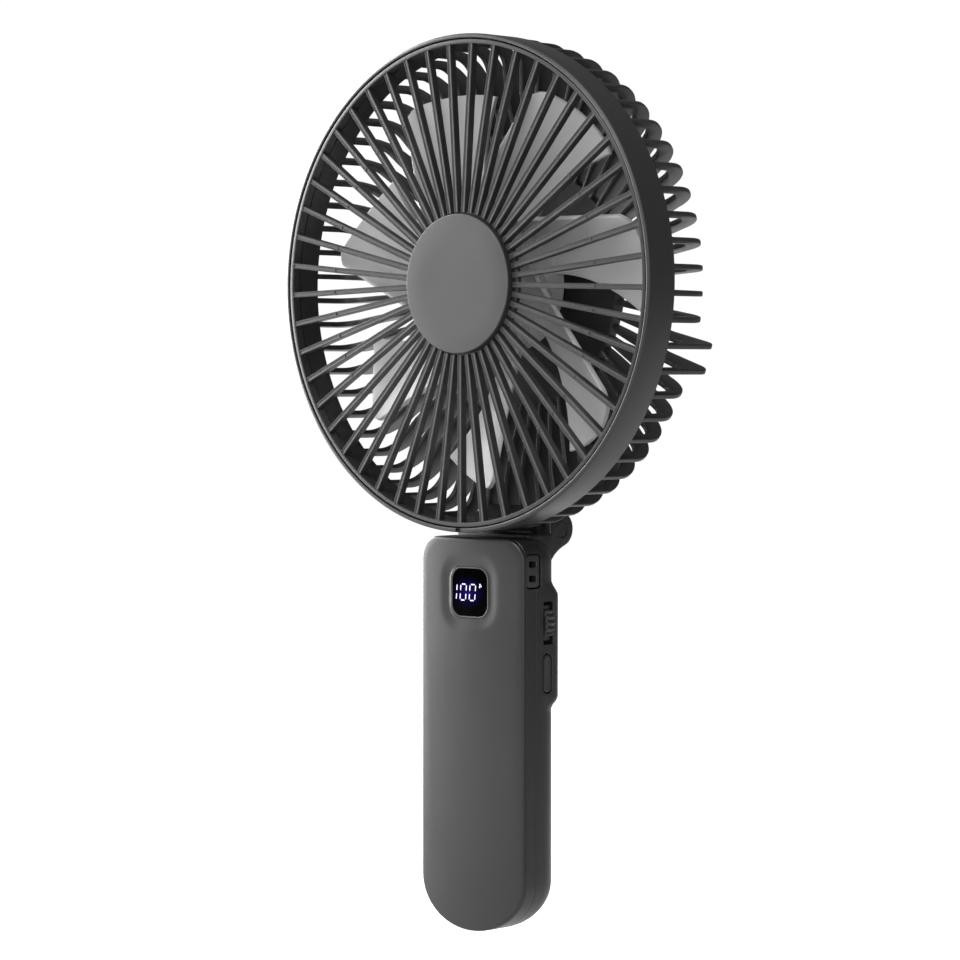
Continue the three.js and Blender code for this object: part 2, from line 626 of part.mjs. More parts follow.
function strapFrame() {
  const halfWide = STRAP.width / 2;
  const halfLong = STRAP.length / 2;
  const { y, z } = STRAP;
  const plate = roundedRect(y - halfWide, y + halfWide, z - halfLong, z + halfLong, 1.0);
  const x1 = GRIP.half - 0.25;
  let frame = alongX(plate, x1 - STRAP.depth, x1, 4);
  [-1, 1].forEach((side) => {
    const slotZ = z + side * STRAP_SLOT.offset;
    const [wide, tall] = [STRAP_SLOT.width / 2, STRAP_SLOT.height / 2];
    const slot = roundedRect(y - wide, y + wide, slotZ - tall, slotZ + tall, 0.4);
    frame = frame.subtract(alongX(slot, x1 - 3, x1 + 1, 3));
  });
  return geometryOf(frame);
}

function usbSocket() {
  const { y, z, width, length, depth, wall } = USB;
  const x0 = -GRIP.half + 0.15;
  const shape = (inset) =>
    roundedRect(
      y - width / 2 + inset,
      y + width / 2 - inset,
      z - length / 2 + inset,
      z + length / 2 - inset,
      width / 2 - inset - 0.05,
    );
  const mouth = alongX(shape(wall), x0 - 1, x0 + depth - 1, 5);
  const shell = alongX(shape(0), x0, x0 + depth, 5).subtract(mouth);
  const tongue = block(x0 + 1, x0 + depth - 0.5, y - 0.35, y + 0.35, z - 3.2, z + 3.2);
  return geometryOf(shell.add(tongue));
}

function batteryCell() {
  return geometryOf(block(-CELL.half, CELL.half, CELL.front, CELL.back, CELL.bottom, CELL.top));
}

// A foam pad that holds the battery off the front shell.
function batteryFoam() {
  const { half, endInset } = FOAM_PAD;
  const front = GRIP.front + GRIP.wall + GAP;
  return geometryOf(block(-half, half, front, CELL.front - GAP, CELL.bottom + endInset, CELL.top - endInset));
}

// The encoder the thumb wheel turns, soldered to the board beneath the wheel.
function wheelEncoder() {
  const { near, far, half } = ENCODER;
  const back = WHEEL.y - WHEEL.thickness / 2 - 0.35;
  return geometryOf(block(near, far, BOARD.back + GAP, back, WHEEL.z - half, WHEEL.z + half));
}

function thumbWheel() {
  const rim = new THREE.Shape();
  const tooth = (2 * Math.PI) / WHEEL.teeth;
  for (let i = 0; i < WHEEL.teeth; i++) {
    const root = WHEEL.radius - 0.45;
    const profile = [[0.15, root], [0.35, WHEEL.radius], [0.65, WHEEL.radius], [0.85, root]];
    profile.forEach(([part, radius], step) => {
      const angle = (i + part) * tooth;
      const [a, b] = [radius * Math.cos(angle), radius * Math.sin(angle)];
      if (i === 0 && step === 0) rim.moveTo(a, b);
      else rim.lineTo(a, b);
    });
  }
  const wheel = alongY(rim, -WHEEL.thickness / 2, WHEEL.thickness / 2);
  return geometryOf(wheel.subtract(discY(1.5, -WHEEL.thickness, WHEEL.thickness, 0, 0, 20)));
}

function powerButton() {
  const halfWide = BUTTON.width / 2;
  const halfLong = BUTTON.length / 2;
  const face = roundedRect(-halfWide, halfWide, -halfLong, halfLong, halfWide - 0.05);
  const flange = roundedRect(-halfWide - 0.7, halfWide + 0.7, -halfLong - 0.7, halfLong + 0.7, 1.5);
  const cap = alongX(face, 0.4 - BUTTON.depth, 0, 6);
  return geometryOf(cap.add(alongX(flange, -BUTTON.depth, 0.5 - BUTTON.depth, 4)));
}

// The switch behind the button: a block on the board with a plunger that the button's flange meets.
function powerSwitch() {
  const face = GRIP.half - BUTTON.depth - BUTTON.travel - 0.2;
  const body = block(face - 3, face - 0.4, BOARD.back + GAP, 16.6, BUTTON.z - 2.6, BUTTON.z + 2.6);
  return geometryOf(body.add(discX(1.1, face - 0.6, face, BUTTON.y, BUTTON.z, 16)));
}

// A short round wire through the given [x, y, z] points.
function wire(points, radius) {
  const path = new THREE.CatmullRomCurve3(points.map(([x, y, z]) => new THREE.Vector3(x, y, z)));
  const section = new THREE.Shape();
  section.absarc(0, 0, radius, 0, 2 * Math.PI);
  const sweep = { steps: 8, curveSegments: 4, bevelEnabled: false, extrudePath: path };
  return geometryOf(solid(new THREE.ExtrudeGeometry(section, sweep)));
}

// ---- assembly: fan head ----
piece(head, "rear_grille", rearGrille(), CAGE);
piece(head, "front_grille", frontGrille(), CAGE);
piece(head, "hub_cap", hubCap(), CAP_GREY);
piece(head, "bearing_tube", bearingTube(), BRASS);
piece(head, "front_bearing", bearing(BEARING.front), STEEL);
piece(head, "rear_bearing", bearing(BEARING.rear), STEEL);
piece(head, "stator_core", statorCore(), STEEL);
for (let i = 0; i < STATOR.poles; i++) {
  const winding = piece(head, `stator_coil_${i + 1}`, coil(), COPPER);
  winding.rotation.y = (-2 * Math.PI * i) / STATOR.poles;
}
piece(head, "motor_board", motorBoard(), BOARD_GREEN);
const motorScrew = screw(MOTOR_SCREW, 1);
const post = motorPost();
motorScrewPlaces().forEach(([x, z], i) => {
  piece(head, `motor_screw_${i + 1}`, motorScrew, STEEL, x, MOTOR_BOARD.front - GAP, z);
  piece(head, `motor_post_${i + 1}`, post, NYLON, x, 0, z);
});
for (const [name, side] of SIDES) {
  const washer = geometryOf(ringY(PIN_BORE, 3.6, -0.2, 0.2, 20)).rotateZ(Math.PI / 2);
  const x = (side * (HINGE.lugHalf + HINGE.slotHalf)) / 2;
  piece(head, `friction_washer_${name}`, washer, STEEL, x, HINGE.y, HINGE.z);
}

// ---- assembly: rotor ----
piece(fan, "impeller", impeller(), BLADE_GREY);
piece(fan, "rotor_can", rotorCan(), STEEL);
piece(fan, "magnet_ring", magnetRing(), MAGNET);
piece(fan, "motor_shaft", motorShaft(), STEEL);
piece(fan, "shaft_clip", shaftClip(), STEEL);

// ---- assembly: grip ----
const shells = shellParts();
piece(grip, "front_shell", frontShell(shells), CHARCOAL);
piece(grip, "rear_shell", rearShell(shells), CHARCOAL);
piece(grip, "display_bezel", displayBezel(), BLACK_PLASTIC);
piece(grip, "display_window", displayWindow(), BLACK_GLASS);
piece(grip, "display_module", displayModule(), BLACK_PLASTIC);
piece(grip, "circuit_board", circuitBoard(), BOARD_GREEN);
piece(grip, "battery_cell", batteryCell(), FOIL);
piece(grip, "battery_foam", batteryFoam(), FOAM);
piece(grip, "strap_frame", strapFrame(), BLACK_PLASTIC);
piece(grip, "usb_c_socket", usbSocket(), STEEL);
piece(grip, "wheel_encoder", wheelEncoder(), BLACK_PLASTIC);
piece(grip, "power_switch", powerSwitch(), BLACK_PLASTIC);
const boardScrew = screw(BOARD_SCREW, -1);
const caseScrew = screw(CASE_SCREW, -1);
for (const [name, side] of SIDES) {
  const boardX = side * BOARD_SCREW.x;
  const caseX = side * CASE_SCREW.x;
  piece(grip, `board_screw_${name}`, boardScrew, STEEL, boardX, BOARD.back + GAP, BOARD_SCREW.z);
  piece(grip, `case_screw_${name}`, caseScrew, STEEL, caseX, CASE_SCREW_SEAT, CASE_SCREW.z);
  const capX = side * (HINGE.halfWidth - 0.3);
  const cap = discX(PIN_CAP.radius, capX - 0.25, capX + 0.25, HINGE.y, HINGE.z, 20);
  piece(grip, `pin_cap_${name}`, geometryOf(cap), CHARCOAL);
}
piece(grip, "hinge_pin", geometryOf(discX(PIN_BORE - GAP, -12, 12, HINGE.y, HINGE.z, 24)), STEEL);
for (const [name, x, look] of [["positive", 3.5, RED_WIRE], ["negative", -3.5, BLACK_WIRE]]) {
  const route = [[x, 13, CELL.top + GAP], [x, 13.6, -112], [x, 13.2, -109], [x, BOARD.back + 0.9, -106.5]];
  piece(grip, `battery_lead_${name}`, wire(route, 0.6), look);
}
const wheel = new THREE.Group();
wheel.position.set(WHEEL.x, WHEEL.y, WHEEL.z);
grip.add(wheel);
piece(wheel, "speed_wheel", thumbWheel(), CHARCOAL);
piece(wheel, "wheel_axle", geometryOf(discY(1.2, -1.4, 2.6, 0, 0, 20)), STEEL);
const button = new THREE.Group();
button.position.set(GRIP.half, BUTTON.y, BUTTON.z);
grip.add(button);
piece(button, "power_button", powerButton(), CHARCOAL);

const part = new THREE.Group();
part.add(assembly);

export default part;
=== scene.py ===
"""The looks of the handheld folding fan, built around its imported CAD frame.

Shapes are drawn in millimetres about the fan's own centre, on the plane of the cage's front edge:
+X is the side with the controls, -Y the side the air blows to and +Z is up. settle() puts them in the frame.
"""
import math

import bmesh
import bpy
from mathutils import Matrix, Vector


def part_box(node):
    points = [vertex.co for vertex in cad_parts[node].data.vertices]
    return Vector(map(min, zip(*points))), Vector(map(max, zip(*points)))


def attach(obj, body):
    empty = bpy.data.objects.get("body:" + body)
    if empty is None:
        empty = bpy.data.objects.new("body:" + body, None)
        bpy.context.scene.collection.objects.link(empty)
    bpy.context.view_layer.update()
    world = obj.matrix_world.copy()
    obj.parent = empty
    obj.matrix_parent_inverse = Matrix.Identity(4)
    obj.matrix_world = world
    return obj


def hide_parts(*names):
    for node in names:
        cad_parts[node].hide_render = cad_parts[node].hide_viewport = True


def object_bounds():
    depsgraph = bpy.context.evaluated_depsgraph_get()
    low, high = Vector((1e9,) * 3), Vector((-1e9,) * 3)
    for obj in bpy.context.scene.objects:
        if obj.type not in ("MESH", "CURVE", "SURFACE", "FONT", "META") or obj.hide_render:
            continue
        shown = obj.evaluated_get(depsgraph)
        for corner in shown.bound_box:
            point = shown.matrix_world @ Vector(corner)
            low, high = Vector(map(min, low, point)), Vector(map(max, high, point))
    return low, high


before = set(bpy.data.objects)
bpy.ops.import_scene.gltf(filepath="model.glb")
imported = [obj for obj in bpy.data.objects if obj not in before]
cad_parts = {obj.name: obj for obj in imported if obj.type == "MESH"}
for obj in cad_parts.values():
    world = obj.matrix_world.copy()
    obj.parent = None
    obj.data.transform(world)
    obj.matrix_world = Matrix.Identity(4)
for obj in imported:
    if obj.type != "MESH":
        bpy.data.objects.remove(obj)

cad_low, cad_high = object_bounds()

# ---- places taken from the frame ----
MM = 0.001
cap_low, cap_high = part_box("hub_cap")
cage_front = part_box("rear_grille")[0].y
CENTRE = Vector(((cap_low.x + cap_high.x) / 2, cage_front, (cap_low.z + cap_high.z) / 2))


def span(node):
    """A node's lowest and highest corners, in millimetres about the fan's centre."""
    return [(corner - CENTRE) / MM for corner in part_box(node)]


def middle(node):
    low, high = span(node)
    return (low + high) / 2


def size(node):
    low, high = span(node)
    return high - low


HEAD_RADIUS = span("rear_grille")[1].x
GRIP_HALF = span("front_shell")[1].x
GRIP_FRONT = span("front_shell")[0].y
GRIP_TOP = span("front_shell")[1].z
GRIP_BOTTOM = span("front_shell")[0].z
GRIP_BACK = -CENTRE.y / MM
PARTING_FRONT = span("front_shell")[1].y
PARTING_BACK = span("rear_shell")[0].y
HINGE = middle("hinge_pin")
EAR_RADIUS = span("rear_shell")[1].y - HINGE.y
EAR_HALF = span("pin_cap_right")[1].x
WHEEL = middle("speed_wheel")
WHEEL_SIZE = size("speed_wheel")
BUTTON_LOW, BUTTON_HIGH = span("power_button")
BUTTON_Y = (BUTTON_LOW.y + BUTTON_HIGH.y) / 2
BUTTON_Z = (BUTTON_LOW.z + BUTTON_HIGH.z) / 2
STRAP = middle("strap_frame")
STRAP_SIZE = size("strap_frame")
USB = middle("usb_c_socket")
USB_SIZE = size("usb_c_socket")
DISPLAY = middle("display_bezel")
BEZEL_HALF = size("display_bezel").x / 2

# ---- details in millimetres ----
LIP_INNER = HEAD_RADIUS - 1.15
LIP_DEPTH = 3.3
BAND_INNER = HEAD_RADIUS - 2.5
BAND_BACK = 10.0
BARS = 49
BAR_WIDTH = 1.45
BAR_FRONT = 0.3
BAR_BACK = 2.3
BAR_INNER = 18.7
MARK_RADIUS = 46.5
RING_INNER = HEAD_RADIUS - 2.6
RING_OUTER = HEAD_RADIUS - 1.5
GRILLE_HUB = 19.4
CAP_RADIUS = (cap_high.x - cap_low.x) / 2 / MM
CAP_FRONT = span("hub_cap")[0].y
CAP_BACK = span("hub_cap")[1].y
RIBS = 60
RIB_THICKNESS = 1.4
RIB_OUTER = HEAD_RADIUS - 0.3
RIB_CORNER = 9.8
RIB_CORNER_Y = 17.9
RIB_DEPTH = 7.0
FOOT_RIBS = (-15, -21, 195, 201)
FOOT_BACK = 29.7
FOOT_TIP = 3.0
REAR_HUB = 32.0
REAR_HUB_FRONT = 26.3
REAR_HUB_BACK = 30.3
LUG_HALF = 6.9
LUG_RADIUS = 4.3
HUB_RADIUS = 17.5
HUB_FRONT = 4.6
HUB_BACK = 22.0
BLADES = 7
BLADE_TIP = 54.0
BLADE_THICKNESS = 1.3
WALL = 1.8
FRONT_EDGE = 0.8
FACE_CROWN = 1.0
SEAM_CLOSE = 0.1
SEAM_BEVEL = 0.06
EDGE_LINE = 0.12
# radius of the edge mask, which paints a highlight along edges and also lowers their roughness
EDGE_HIGHLIGHT_AND_POLISH_RADIUS = 0.22
NECK_TOP = -65.75
SLOT_ROOM = 0.9
SLOT_HALF = 7.9
TOP_CORNER = 6.0
END_HEIGHT = 13.6
TOP_ROUND_DEEP = 8.8
TOP_ROUND_IN = 6.0
END_ROUND_DEEP = 8.0
END_ROUND_IN = 9.0
SIDE_ROUND = 8.2
POD_ROUND = 4.0
POD_RAMPS = (-77.6, -81.6, -108.2, -111.3)
PIN_CAP_RADIUS = 2.2
DIMPLE_WIDTH = 4.2
DISPLAY_RAISE = 0.2
BEZEL_FRONT = span("display_bezel")[0].y - DISPLAY_RAISE
BEZEL_CORNER = 3.55
BEZEL_RIM = 0.4
BEZEL_GAP = 0.08
PANE_GAP = 0.03
BUTTON_HALF_WIDE = 1.5
BUTTON_HALF_LONG = 4.95
CONTROL_GAP = 0.3
USB_GAP = 0.06

CAGE_TURN = 360 / BARS


# ---- outlines ----
def arc(a, b, radius, start, end, steps, tall=None):
    """Points on a circle, or on an ellipse that is tall in b, from one angle to another in degrees."""
    turns = [math.radians(start + (end - start) * i / steps) for i in range(steps + 1)]
    return [(a + radius * math.cos(t), b + (tall or radius) * math.sin(t)) for t in turns]


def rounded(half_a, half_b, corner, a=0.0, b=0.0, steps=6):
    """A rectangle with round corners, about (a, b)."""
    inner_a, inner_b = half_a - corner, half_b - corner
    return (
        arc(a + inner_a, b + inner_b, corner, 0, 90, steps)
        + arc(a - inner_a, b + inner_b, corner, 90, 180, steps)
        + arc(a - inner_a, b - inner_b, corner, 180, 270, steps)
        + arc(a + inner_a, b - inner_b, corner, 270, 360, steps)
    )


def area(outline):
    following = outline[1:] + outline[:1]
    return sum(a * d - c * b for (a, b), (c, d) in zip(outline, following)) / 2


def pulled_in(outline, amount):
    """The outline with each side moved inwards by amount."""
    way = 1 if area(outline) > 0 else -1
    count = len(outline)
    normals = []
    for i, (a, b) in enumerate(outline):
        c, d = outline[(i + 1) % count]
        length = math.hypot(c - a, d - b) or 1.0
        normals.append((-(d - b) / length * way, (c - a) / length * way))
    moved = []
    for i, (a, b) in enumerate(outline):
        (na, nb), (ma, mb) = normals[i - 1], normals[i]
        share = amount / max(1 + na * ma + nb * mb, 0.3)
        moved.append((a + (na + ma) * share, b + (nb + mb) * share))
    return moved


def smooth(t):
    t = min(max(t, 0.0), 1.0)
    return t * t * (3 - 2 * t)


def mix(a, b, t):
    return a + (b - a) * t


# ---- surfaces ----
def along_x(a, b, h):
    return (h, a, b)


def along_y(a, b, h):
    return (a, h, b)


def beside(degrees):
    """Places (radius, y) outlines as plates that stand on a spoke, h being across it."""
    c, s = math.cos(math.radians(degrees)), math.sin(math.radians(degrees))
    return lambda a, b, h: (a * c - h * s, b, a * s + h * c)


def outwards(degrees):
    """Places (across, y) outlines so that they run out along a spoke."""
    c, s = math.cos(math.radians(degrees)), math.sin(math.radians(degrees))
    return lambda a, b, h: (h * c - a * s, b, h * s + a * c)


def skin(rings, loop=False):
    """The points and faces of a closed surface through rings of points, looped or with flat ends."""
    count = len(rings[0])
    points = [point for ring in rings for point in ring]
    faces = []
    last = len(rings) if loop else len(rings) - 1
    for k in range(last):
        near, far = k * count, (k + 1) % len(rings) * count
        for i in range(count):
            j = (i + 1) % count
            faces.append((near + i, near + j, far + j, far + i))
    if not loop:
        faces.append(tuple(reversed(range(count))))
        faces.append(tuple(range(len(points) - count, len(points))))
    return points, faces


def slab(outline, low, high, edge, place, steps=3):
    """A plate of the outline from low to high, with its edges rounded by edge."""
    turns = [math.radians(90 * k / steps) for k in range(steps + 1)]
    layers = [(edge * (1 - math.sin(t)), edge * (1 - math.cos(t))) for t in turns]
    if edge == 0:
        layers = [(0, 0)]
    stack = [(inset, low + rise) for inset, rise in layers]
    stack += [(inset, high - rise) for inset, rise in reversed(layers)]
    return skin([[place(a, b, h) for a, b in pulled_in(outline, inset)] for inset, h in stack])


def flared(outline, deep, face, flare, place):
    """A cutter from deep to past the face, opening out by flare where it meets the face."""
    way = 1 if face > deep else -1
    stack = [(0, deep), (0, face - way * flare), (-2 * flare, face + way * flare)]
    return skin([[place(a, b, h) for a, b in pulled_in(outline, inset)] for inset, h in stack])


def turned(profile, sides, place, loop=False, a=0.0, b=0.0):
    """A profile of (radius, height) points turned about an axis through (a, b)."""
    rings = []
    for radius, h in profile:
        circle = arc(a, b, radius, 0, 360, sides)[:-1]
        rings.append([place(p, q, h) for p, q in circle])
    return skin(rings, loop)


# ---- solids ----
def solid(name, *skins):
    points, faces = [], []
    for more_points, more_faces in skins:
        start = len(points)
        points += more_points
        faces += [[start + i for i in face] for face in more_faces]
    mesh = bpy.data.meshes.new(name)
    mesh.from_pydata(points, [], faces)
    work = bmesh.new()
    work.from_mesh(mesh)
    bmesh.ops.recalc_face_normals(work, faces=work.faces)
    work.to_mesh(mesh)
    work.free()
    piece = bpy.data.objects.new(name, mesh)
    bpy.context.scene.collection.objects.link(piece)
    return piece


def applied(piece):
    """The piece with its modifiers turned into mesh."""
    bpy.context.view_layer.update()
    shaped = piece.evaluated_get(bpy.context.evaluated_depsgraph_get())
    mesh = bpy.data.meshes.new_from_object(shaped)
    piece.modifiers.clear()
    piece.data = mesh
    return piece


def combined(piece, operation, tools):
    for tool in tools:
        modifier = piece.modifiers.new(operation, "BOOLEAN")
        modifier.operation = operation
        modifier.solver = "MANIFOLD"
        modifier.object = tool
    applied(piece)
    for tool in tools:
        bpy.data.objects.remove(tool)
    return piece


def united(piece, *tools):
    return combined(piece, "UNION", tools)


def cut(piece, *skins):
    return combined(piece, "DIFFERENCE", [solid("cutter", one) for one in skins])


def settle(piece, body, look, replaces=(), sharp=35):
    """Puts a finished piece in the frame, on its body, with its finish."""
    piece.data.transform(Matrix.Translation(CENTRE) @ Matrix.Scale(MM, 4))
    piece.data.shade_smooth()
    piece.data.set_sharp_from_angle(angle=math.radians(sharp))
    piece.data.materials.clear()
    piece.data.materials.append(look)
    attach(piece, body)
    if replaces:
        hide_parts(*replaces)
    return piece


# ---- materials ----
class Nodes:
    """A material's node tree, with short calls to add nodes and links."""

    def __init__(self, name):
        self.material = bpy.data.materials.new(name)
        self.material.use_nodes = True
        self.tree = self.material.node_tree
        self.shader = self.tree.nodes["Principled BSDF"]
        self.place = self.add("ShaderNodeTexCoord").outputs["Object"]

    def add(self, kind, links=None, **settings):
        node = self.tree.nodes.new(kind)
        for name, value in settings.items():
            setattr(node, name, value)
        for socket, value in (links or {}).items():
            self.put(node.inputs[socket], value)
        return node

    def put(self, socket, value):
        if isinstance(value, bpy.types.NodeSocket):
            self.tree.links.new(value, socket)
        else:
            socket.default_value = value

    def noise(self, millimetres, detail=2.0, rough=0.5):
        scale = 1 / (millimetres * MM)
        links = {"Vector": self.place, "Scale": scale, "Detail": detail, "Roughness": rough}
        return self.add("ShaderNodeTexNoise", links).outputs["Fac"]

    def ranged(self, value, low, high, start=0.0, end=1.0):
        links = {"Value": value, "From Min": start, "From Max": end, "To Min": low, "To Max": high}
        return self.add("ShaderNodeMapRange", links).outputs["Result"]

    def mixed(self, share, first, second):
        node = self.add("ShaderNodeMix", data_type="RGBA")
        for socket, value in ((0, share), (6, first), (7, second)):
            self.put(node.inputs[socket], value)
        return node.outputs[2]

    def maths(self, operation, first, second=0.0):
        return self.add("ShaderNodeMath", {0: first, 1: second}, operation=operation).outputs[0]

    def edges(self, millimetres, start=0.02, end=0.35):
        """0 on flat ground and 1 on an outer edge, from how the normal turns within that distance."""
        bevelled = self.add("ShaderNodeBevel", {"Radius": millimetres * MM}, samples=4)
        true_normal = self.add("ShaderNodeNewGeometry").outputs["Normal"]
        both = {0: bevelled.outputs[0], 1: true_normal}
        agree = self.add("ShaderNodeVectorMath", both, operation="DOT_PRODUCT").outputs["Value"]
        return self.ranged(self.maths("SUBTRACT", 1.0, agree), 0.0, 1.0, start, end)

    def bumps(self, *layers):
        """Bump from (height, depth in millimetres) layers, one over the other."""
        normal = None
        for height, depth in layers:
            links = {"Height": height, "Distance": depth * MM, "Strength": 1.0}
            if normal:
                links["Normal"] = normal
            normal = self.add("ShaderNodeBump", links).outputs["Normal"]
        self.put(self.shader.inputs["Normal"], normal)

    def set(self, **sockets):
        for name, value in sockets.items():
            self.put(self.shader.inputs[name.replace("_", " ")], value)


def grey(value, warm=0.0):
    return (value * (1 + warm), value, value * (1 - warm), 1.0)


def moulded(name, shade, rough, grain=0.16, depth=0.008, edge_highlight=0.25, warm=0.0):
    """Moulded plastic: spark-eroded grain, cloudy colour and sheen, edges polished by handling, and a
    painted highlight that lightens the colour along edges.
    """
    n = Nodes(name)
    clouds = n.noise(22, 4.0, 0.6)
    fine = n.noise(grain, 3.0, 0.6)
    coarse = n.noise(grain * 4, 2.0)
    edge = n.edges(EDGE_HIGHLIGHT_AND_POLISH_RADIUS)
    base = n.mixed(n.ranged(clouds, 0, 1, 0.3, 0.7), grey(shade * 0.94, warm), grey(shade * 1.06, warm))
    speckled = n.mixed(n.ranged(fine, 0, 1, 0.35, 0.65), base, grey(shade * 1.12, warm))
    # painted highlight: along edges the colour is lightened towards a pale grey
    with_edge_highlight = n.mixed(n.maths("MULTIPLY", edge, edge_highlight), speckled, grey(min(shade * 2.6 + 0.02, 0.8), warm))
    cloudy = n.ranged(clouds, rough - 0.035, rough + 0.035, 0.3, 0.7)
    polished = n.maths("SUBTRACT", cloudy, n.maths("MULTIPLY", edge, 0.14))
    n.set(Base_Color=with_edge_highlight, Roughness=n.maths("ADD", polished, n.ranged(fine, -0.03, 0.03)))
    n.bumps((fine, depth), (coarse, depth * 0.8))
    return n.material


def metal(name, colour, rough, brush=(1, 1, 12), scratch=0.4):
    """Turned or drawn metal: fine lines stretched one way, with stains in the sheen."""
    n = Nodes(name)
    stretched = n.add("ShaderNodeMapping", {"Vector": n.place, "Scale": brush}).outputs["Vector"]
    lines = n.add("ShaderNodeTexNoise", {"Vector": stretched, "Scale": 1500.0, "Detail": 3.0})
    stains = n.noise(6, 4.0)
    dark = tuple(c * 0.72 for c in colour[:3]) + (1.0,)
    n.set(
        Base_Color=n.mixed(n.ranged(stains, 0, 1, 0.3, 0.75), colour, dark),
        Roughness=n.ranged(lines.outputs["Fac"], rough - 0.1, rough + 0.12, 0.3, 0.7),
        Metallic=1.0,
    )
    n.bumps((lines.outputs["Fac"], scratch * 0.01))
    return n.material


def winding():
    """Enamelled copper wire, wound in close turns, with painted shade between the turns and a painted
    highlight along each one.
    """
    n = Nodes("copper_winding")
    links = {"Vector": n.place, "Scale": 900.0, "Distortion": 0.6, "Detail": 1.0}
    turns = n.add("ShaderNodeTexWave", links, bands_direction="Y").outputs["Fac"]
    # painted shade and highlight: each turn's colour runs from dark copper in the groove to bright copper on
    # its crown
    shade = n.mixed(n.ranged(turns, 0, 1), (0.20, 0.07, 0.03, 1), (0.72, 0.33, 0.17, 1))
    n.set(Base_Color=shade, Roughness=n.ranged(n.noise(2), 0.2, 0.42), Metallic=0.9)
    n.bumps((turns, 0.12))
    return n.material


def circuit():
    """A printed board: solder mask over copper tracks, with a fine woven ground."""
    n = Nodes("printed_board")
    links = {"Vector": n.place, "Scale": 420.0}
    cells = n.add("ShaderNodeTexVoronoi", links, feature="DISTANCE_TO_EDGE", distance="MANHATTAN")
    track = n.ranged(cells.outputs["Distance"], 1.0, 0.0, 0.05, 0.11)
    mask = n.mixed(n.ranged(n.noise(0.5), 0, 1), (0.008, 0.07, 0.03, 1), (0.014, 0.10, 0.045, 1))
    n.set(
        Base_Color=n.mixed(track, mask, (0.03, 0.19, 0.08, 1)),
        Roughness=n.ranged(n.noise(1.5), 0.28, 0.45),
    )
    n.bumps((track, 0.03))
    return n.material


def foil():
    """The battery's laminated foil bag: pale, faintly quilted and creased."""
    n = Nodes("cell_foil")
    creases = n.noise(5, 5.0, 0.65)
    n.set(
        Base_Color=n.mixed(n.ranged(creases, 0, 1, 0.35, 0.65), grey(0.42, -0.04), grey(0.6, -0.03)),
        Roughness=n.ranged(n.noise(1.2), 0.25, 0.5),
        Metallic=0.75,
    )
    n.bumps((creases, 0.35), (n.noise(0.7), 0.05))
    return n.material


def foam():
    n = Nodes("foam_pad")
    links = {"Vector": n.place, "Scale": 1600.0}
    pores = n.add("ShaderNodeTexVoronoi", links).outputs["Distance"]
    n.set(
        # painted shade: each pore is darkest in its middle and lighter towards its walls
        Base_Color=n.mixed(n.ranged(pores, 0, 1, 0.1, 0.6), grey(0.008), grey(0.045)),
        Roughness=n.ranged(pores, 0.85, 1.0),
    )
    n.bumps((pores, 0.3))
    return n.material


def sleeve(name, colour):
    """A wire's vinyl sleeve, slightly waxy and marked."""
    n = Nodes(name)
    marks = n.noise(1.8, 3.0)
    dark = tuple(c * 0.6 for c in colour[:3]) + (1.0,)
    n.set(Base_Color=n.mixed(n.ranged(marks, 0, 1, 0.3, 0.7), colour, dark))
    n.set(Roughness=n.ranged(marks, 0.3, 0.5))
    n.bumps((n.noise(0.6), 0.02))
    return n.material


def black_glass():
    """The display's window: near-black and glossy, with a faint violet glow round the lit digits."""
    n = Nodes("display_glass")
    smears = n.noise(4, 4.0, 0.6)
    centre = CENTRE + (DISPLAY + Vector((-0.8, 0, 0))) * MM
    shift = n.add("ShaderNodeVectorMath", {0: n.place, 1: tuple(centre)}, operation="SUBTRACT")
    half_width, half_height = 0.0060, 0.0044
    links = {0: shift.outputs[0], 1: (1 / half_width, 0.0, 1 / half_height)}
    scaled = n.add("ShaderNodeVectorMath", links, operation="MULTIPLY").outputs[0]
    far = n.add("ShaderNodeVectorMath", {0: scaled}, operation="LENGTH").outputs["Value"]
    glow = n.maths("POWER", n.ranged(far, 1.0, 0.0, 0.15, 1.15), 2.0)
    n.set(
        Base_Color=n.mixed(n.ranged(smears, 0, 1, 0.3, 0.7), grey(0.0003), grey(0.0012)),
        Roughness=n.ranged(smears, 0.05, 0.12, 0.3, 0.7),
        Specular_IOR_Level=0.01,
        Emission_Color=n.mixed(glow, (0.0, 0.0, 0.0, 1), (0.010, 0.004, 0.10, 1)),
        Emission_Strength=1.0,
    )
    n.bumps((n.noise(9), 0.01))
    return n.material


def lit_segment():
    """A lit digit segment: white, cooling to violet where the diffuser thins."""
    n = Nodes("lit_segment")
    uneven = n.ranged(n.noise(0.5), 0, 1, 0.35, 0.65)
    n.set(
        Base_Color=grey(0.3),
        Emission_Color=n.mixed(uneven, (0.60, 0.58, 1.0, 1), (0.86, 0.86, 1.0, 1)),
        Emission_Strength=1.0,
        Roughness=n.ranged(uneven, 0.3, 0.5),
    )
    n.bumps((n.noise(0.3), 0.002))
    return n.material


# the last number of each plastic sets how strongly its edges are lightened by a painted highlight
SHELL = moulded("grip_plastic", 0.014, 0.34, grain=0.30, depth=0.010, edge_highlight=0.7)
CAGE = moulded("cage_plastic", 0.024, 0.40, grain=0.22, depth=0.006, edge_highlight=0.7)
GRILLE = moulded("grille_plastic", 0.026, 0.36, grain=0.22, depth=0.007, edge_highlight=0.8)
CAP = moulded("cap_satin", 0.028, 0.40, grain=0.12, depth=0.004, edge_highlight=0.45)
BLADE = moulded("blade_plastic", 0.46, 0.42, grain=0.20, depth=0.004, edge_highlight=0.30)
TRIM = moulded("trim_plastic", 0.026, 0.36, grain=0.18, depth=0.006, edge_highlight=0.9)
